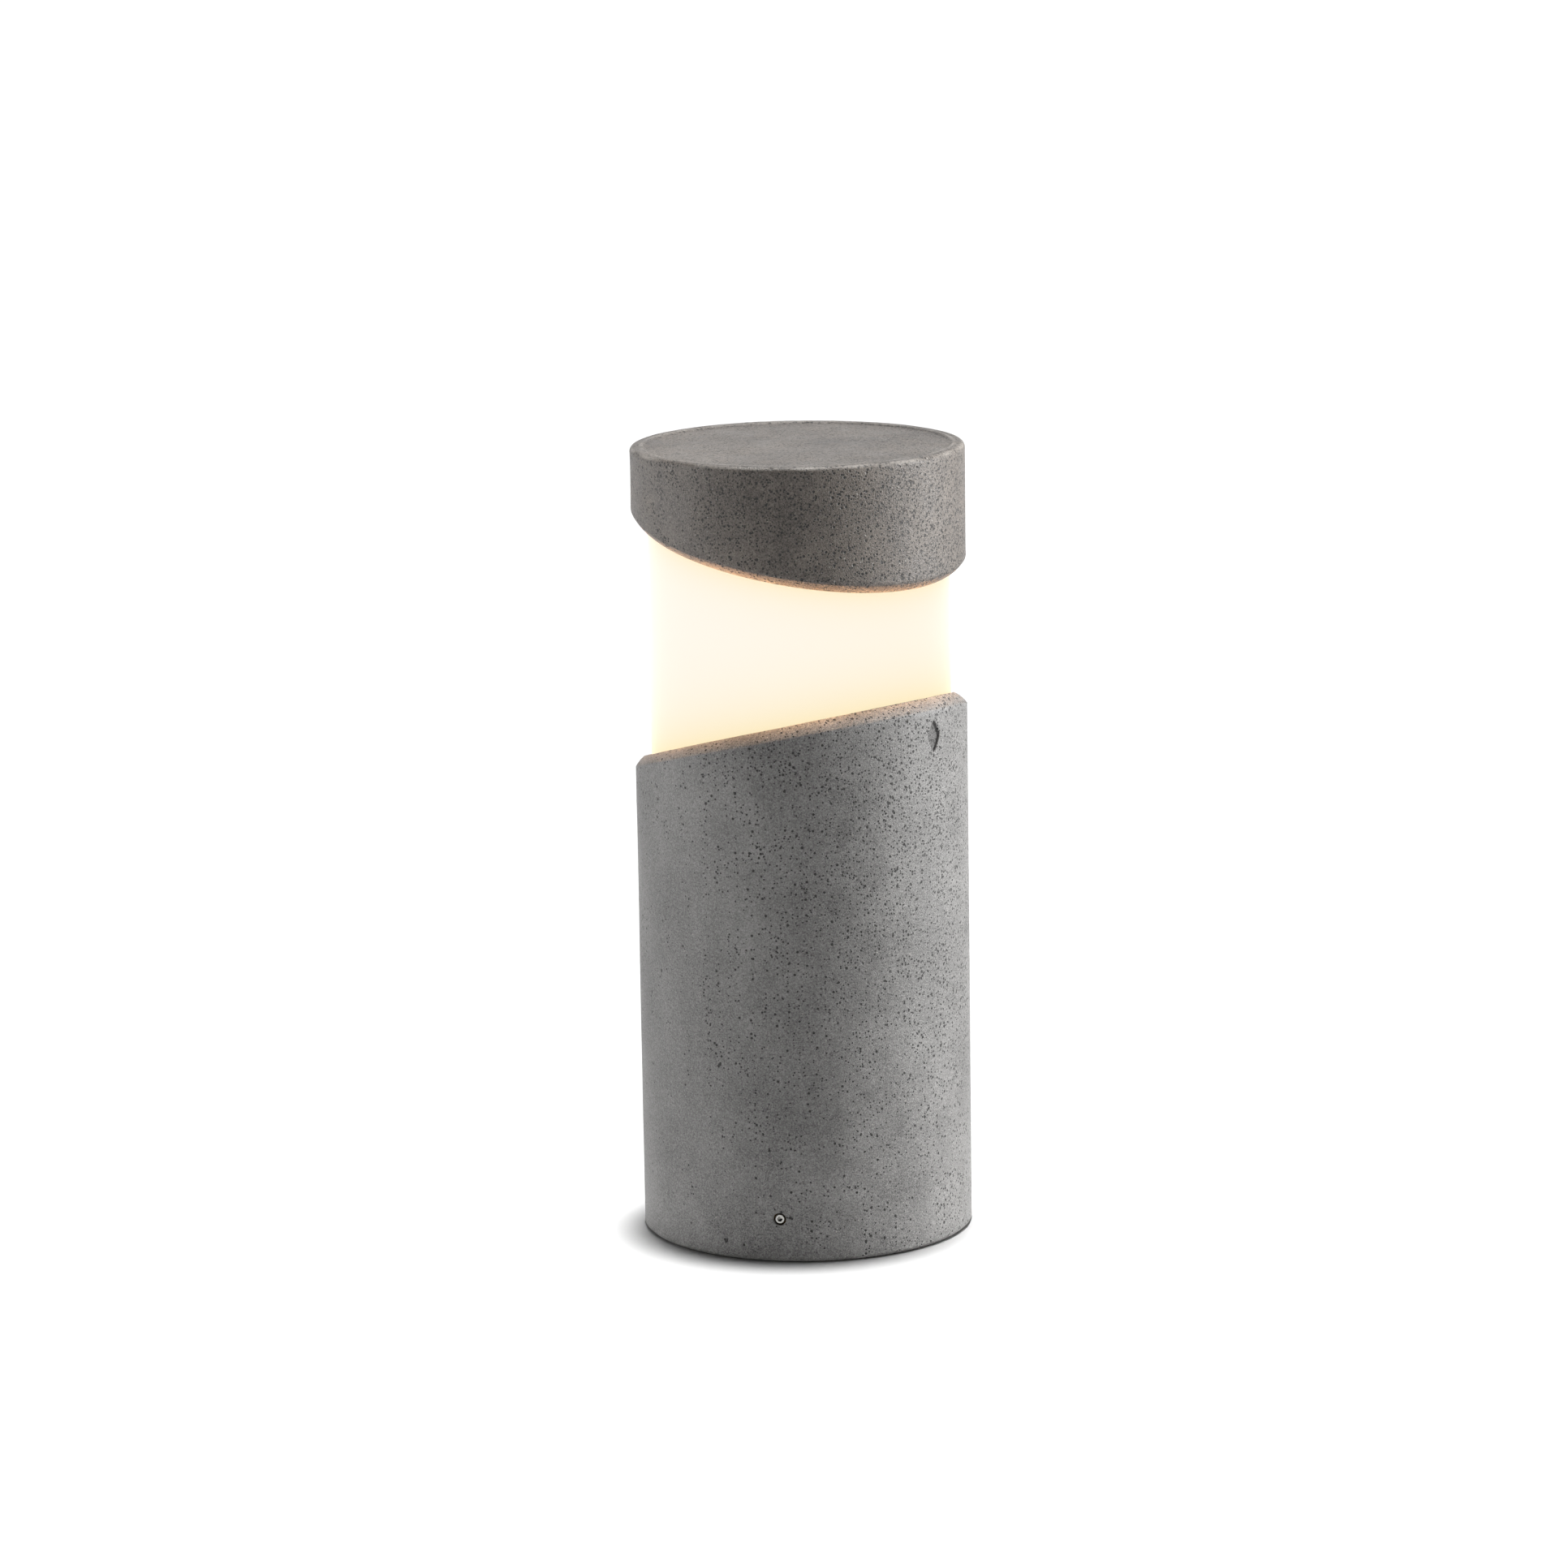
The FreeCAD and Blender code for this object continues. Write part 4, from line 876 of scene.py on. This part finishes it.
def aimed(angle, distance, height):
    """The place and turn of a light at an angle round the object that shines at its middle."""
    turn = math.radians(angle)
    place = Vector((math.sin(turn) * distance, -math.cos(turn) * distance, height))
    aim = Vector((0, 0, TOTAL_H * MM / 2)) - place
    return Matrix.Translation(place) @ aim.to_track_quat("-Z", "Y").to_matrix().to_4x4()


def linked(name, state, pieces):
    """A collection that says which pieces a light reaches, or with EXCLUDE which ones it misses."""
    group = bpy.data.collections.new(name)
    for piece in pieces:
        group.objects.link(piece)
    for entry in group.collection_objects:
        entry.light_linking.link_state = state
    return group


def area_light(name, shape, width, height, power):
    """A flat light that shines along its own -Z."""
    light = put(name, bpy.data.lights.new(name, "AREA"))
    light.data.shape, light.data.energy = shape, power
    light.data.size, light.data.size_y = width, height
    return light


def softbox(name, angle, distance, height, size, power, floor):
    """A rectangular light that faces the object, with flags that keep it off the floor and tube."""
    light = area_light(name, "RECTANGLE", *size, power)
    light.matrix_world = aimed(angle, distance, height)
    flagged = [floor, bpy.data.objects["opal_tube"]]
    light.light_linking.receiver_collection = linked(name + "_flag", "EXCLUDE", flagged)


def spill_panels(settings):
    """Warm light from the tube on the two slanted edges: upright panels just off the tube, each as
    tall as the opening there. They light one piece of concrete each and move with the shell."""
    reach = TUBE_R + 0.1
    for target, strength in (("concrete_body", settings.rim_spill),
                             ("concrete_cap", settings.soffit_spill)):
        lit = linked("tube_lights_" + target, "INCLUDE", [bpy.data.objects[target]])
        for index in range(PANELS):
            turn = 2 * math.pi * index / PANELS
            low = RIM_Z - RIM_SLOPE * reach * math.cos(turn)
            high = SOFFIT_Z - SOFFIT_SLOPE * reach * math.cos(turn)
            light = area_light("spill_%s_%02d" % (target, index), "RECTANGLE",
                               2 * math.pi * reach / PANELS * MM, (high - low) * MM,
                               strength * (high - low) / PANEL_HEIGHT)
            light.data.color = settings.spill_colour
            outward = Vector((math.sin(turn), -math.cos(turn), 0))
            light.location = outward * reach * MM + Vector((0, 0, (low + high) / 2 * MM))
            light.rotation_euler = outward.to_track_quat("-Z", "Y").to_euler()
            light.visible_camera = light.visible_glossy = False
            light.light_linking.receiver_collection = lit
            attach(light, "shell")


def overhead(name, strength, spread, angle, tilt):
    """A far light from above, spread degrees across, which comes from SUN_HEIGHT m up and tilt m
    out at an angle round the object."""
    light = put(name, bpy.data.lights.new(name, "SUN"))
    light.data.energy = strength
    light.data.angle = math.radians(spread)
    light.matrix_world = aimed(angle, tilt, SUN_HEIGHT)
    return light


def foot_bounce(power):
    """Light off the pale ground right round the foot: a disc on the ground that shines upwards on
    the body. The part of it under the body is covered."""
    light = area_light("foot_bounce", "DISK", 2 * BOUNCE_REACH, 2 * BOUNCE_REACH, power)
    light.matrix_world = Matrix.Translation((0, 0, 0.5 * MM)) @ Matrix.Rotation(math.pi, 4, "X")
    light.visible_camera = light.visible_glossy = False
    lit = linked("over_the_ground", "INCLUDE", [bpy.data.objects["concrete_body"]])
    light.light_linking.receiver_collection = lit


class BOLLARD_OT_stage(bpy.types.Operator):
    """Make the camera, the floor, the lights and the sky"""
    bl_idname = "bollard.stage"
    bl_label = "Stage"

    def execute(self, context):
        settings = context.scene.bollard_stage
        make_camera(settings)
        far = FLOOR_HALF
        corners = [(-far, -far, 0), (far, -far, 0), (far, far, 0), (-far, far, 0)]
        mesh = bpy.data.meshes.new("floor")
        mesh.from_pydata(corners, [], [(0, 1, 2, 3)])
        floor = put("floor", mesh)
        # painted studio floor: a matt, very pale grey
        material, tree, _ = start("studio_floor")
        paint = add(tree, "BsdfPrincipled", {"Base Color": rgb("#E4E4E4"), "Roughness": 0.9,
                                             "Specular IOR Level": 0.1})
        add(tree, "OutputMaterial", {"Surface": paint[0]})
        floor.data.materials.append(material)
        camera_angle = settings.camera_angle
        # the wide light reaches the object alone, and a narrow one leaves a short shadow
        top = overhead("overhead", settings.overhead, spread=50, angle=camera_angle + 120, tilt=0.5)
        top.light_linking.receiver_collection = linked("overhead_flag", "EXCLUDE", [floor])
        wash = overhead("floor_wash", settings.floor_wash, spread=4, angle=camera_angle + 155,
                        tilt=0.09)
        wash.light_linking.receiver_collection = linked("washed", "INCLUDE", [floor])
        softbox("right_softbox", camera_angle + 92, distance=1.5, height=0.62, size=(0.5, 1.1),
                power=settings.side_right, floor=floor)
        softbox("left_softbox", camera_angle - 95, distance=1.8, height=0.66, size=(0.7, 1.2),
                power=settings.side_left, floor=floor)
        # plain white to the camera, a bright wall behind the object to shiny faces, and faint fill
        world = bpy.data.worlds.new("studio")
        world.use_nodes = True
        sky = world.node_tree
        sky.nodes.clear()
        seen = add(sky, "Background", {"Color": (1, 1, 1, 1), "Strength": 1.0})[0]
        turn = math.radians(camera_angle)
        behind = (-math.sin(turn), math.cos(turn), 0.0)
        toward = add(sky, "VectorMath", {0: add(sky, "TexCoord", {})["Generated"], 1: behind},
                     operation="DOT_PRODUCT")["Value"]
        level = add(sky, "MapRange", {0: toward, 1: 0.45, 2: 0.95, 3: 0.0, 4: settings.backdrop})[0]
        glossy = add(sky, "LightPath", {})["Is Glossy Ray"]
        level = add(sky, "Math", {0: level, 1: glossy, 2: settings.fill},
                    operation="MULTIPLY_ADD")[0]
        fill = add(sky, "Background", {"Color": (1, 1, 1, 1), "Strength": level})[0]
        ray = add(sky, "LightPath", {})["Is Camera Ray"]
        mixed = add(sky, "MixShader", {0: ray, 1: fill, 2: seen})[0]
        add(sky, "OutputWorld", {"Surface": mixed})
        bpy.context.scene.world = world
        bpy.context.scene.view_settings.view_transform = "Standard"
        foot_bounce(settings.foot_bounce)
        spill_panels(context.scene.bollard_glow)
        return {"FINISHED"}


class BOLLARD_PT_panel(bpy.types.Panel):
    """Lists the operators in the order in which they run"""
    bl_idname = "BOLLARD_PT_panel"
    bl_label = "Concrete bollard light"
    bl_space_type = "VIEW_3D"
    bl_region_type = "UI"
    bl_category = "Bollard"

    def draw(self, context):
        for operator in OPERATORS:
            self.layout.operator(operator.bl_idname)


OPERATORS = (BOLLARD_OT_concrete, BOLLARD_OT_tube, BOLLARD_OT_metalwork, BOLLARD_OT_wiring,
             BOLLARD_OT_lamp, BOLLARD_OT_stage)
GROUPS = {"bollard_concrete": ConcreteSettings, "bollard_glow": GlowSettings,
          "bollard_stage": StageSettings}


def register():
    for group in GROUPS.values():
        bpy.utils.register_class(group)
    for name, group in GROUPS.items():
        setattr(bpy.types.Scene, name, bpy.props.PointerProperty(type=group))
    for operator in OPERATORS + (BOLLARD_PT_panel,):
        bpy.utils.register_class(operator)


def unregister():
    for operator in OPERATORS + (BOLLARD_PT_panel,):
        bpy.utils.unregister_class(operator)
    for name in GROUPS:
        delattr(bpy.types.Scene, name)
    for group in GROUPS.values():
        bpy.utils.unregister_class(group)


def main():
    register()
    for operator in OPERATORS:
        group, name = operator.bl_idname.split(".")
        getattr(getattr(bpy.ops, group), name)()


if __name__ == "__main__":
    main()
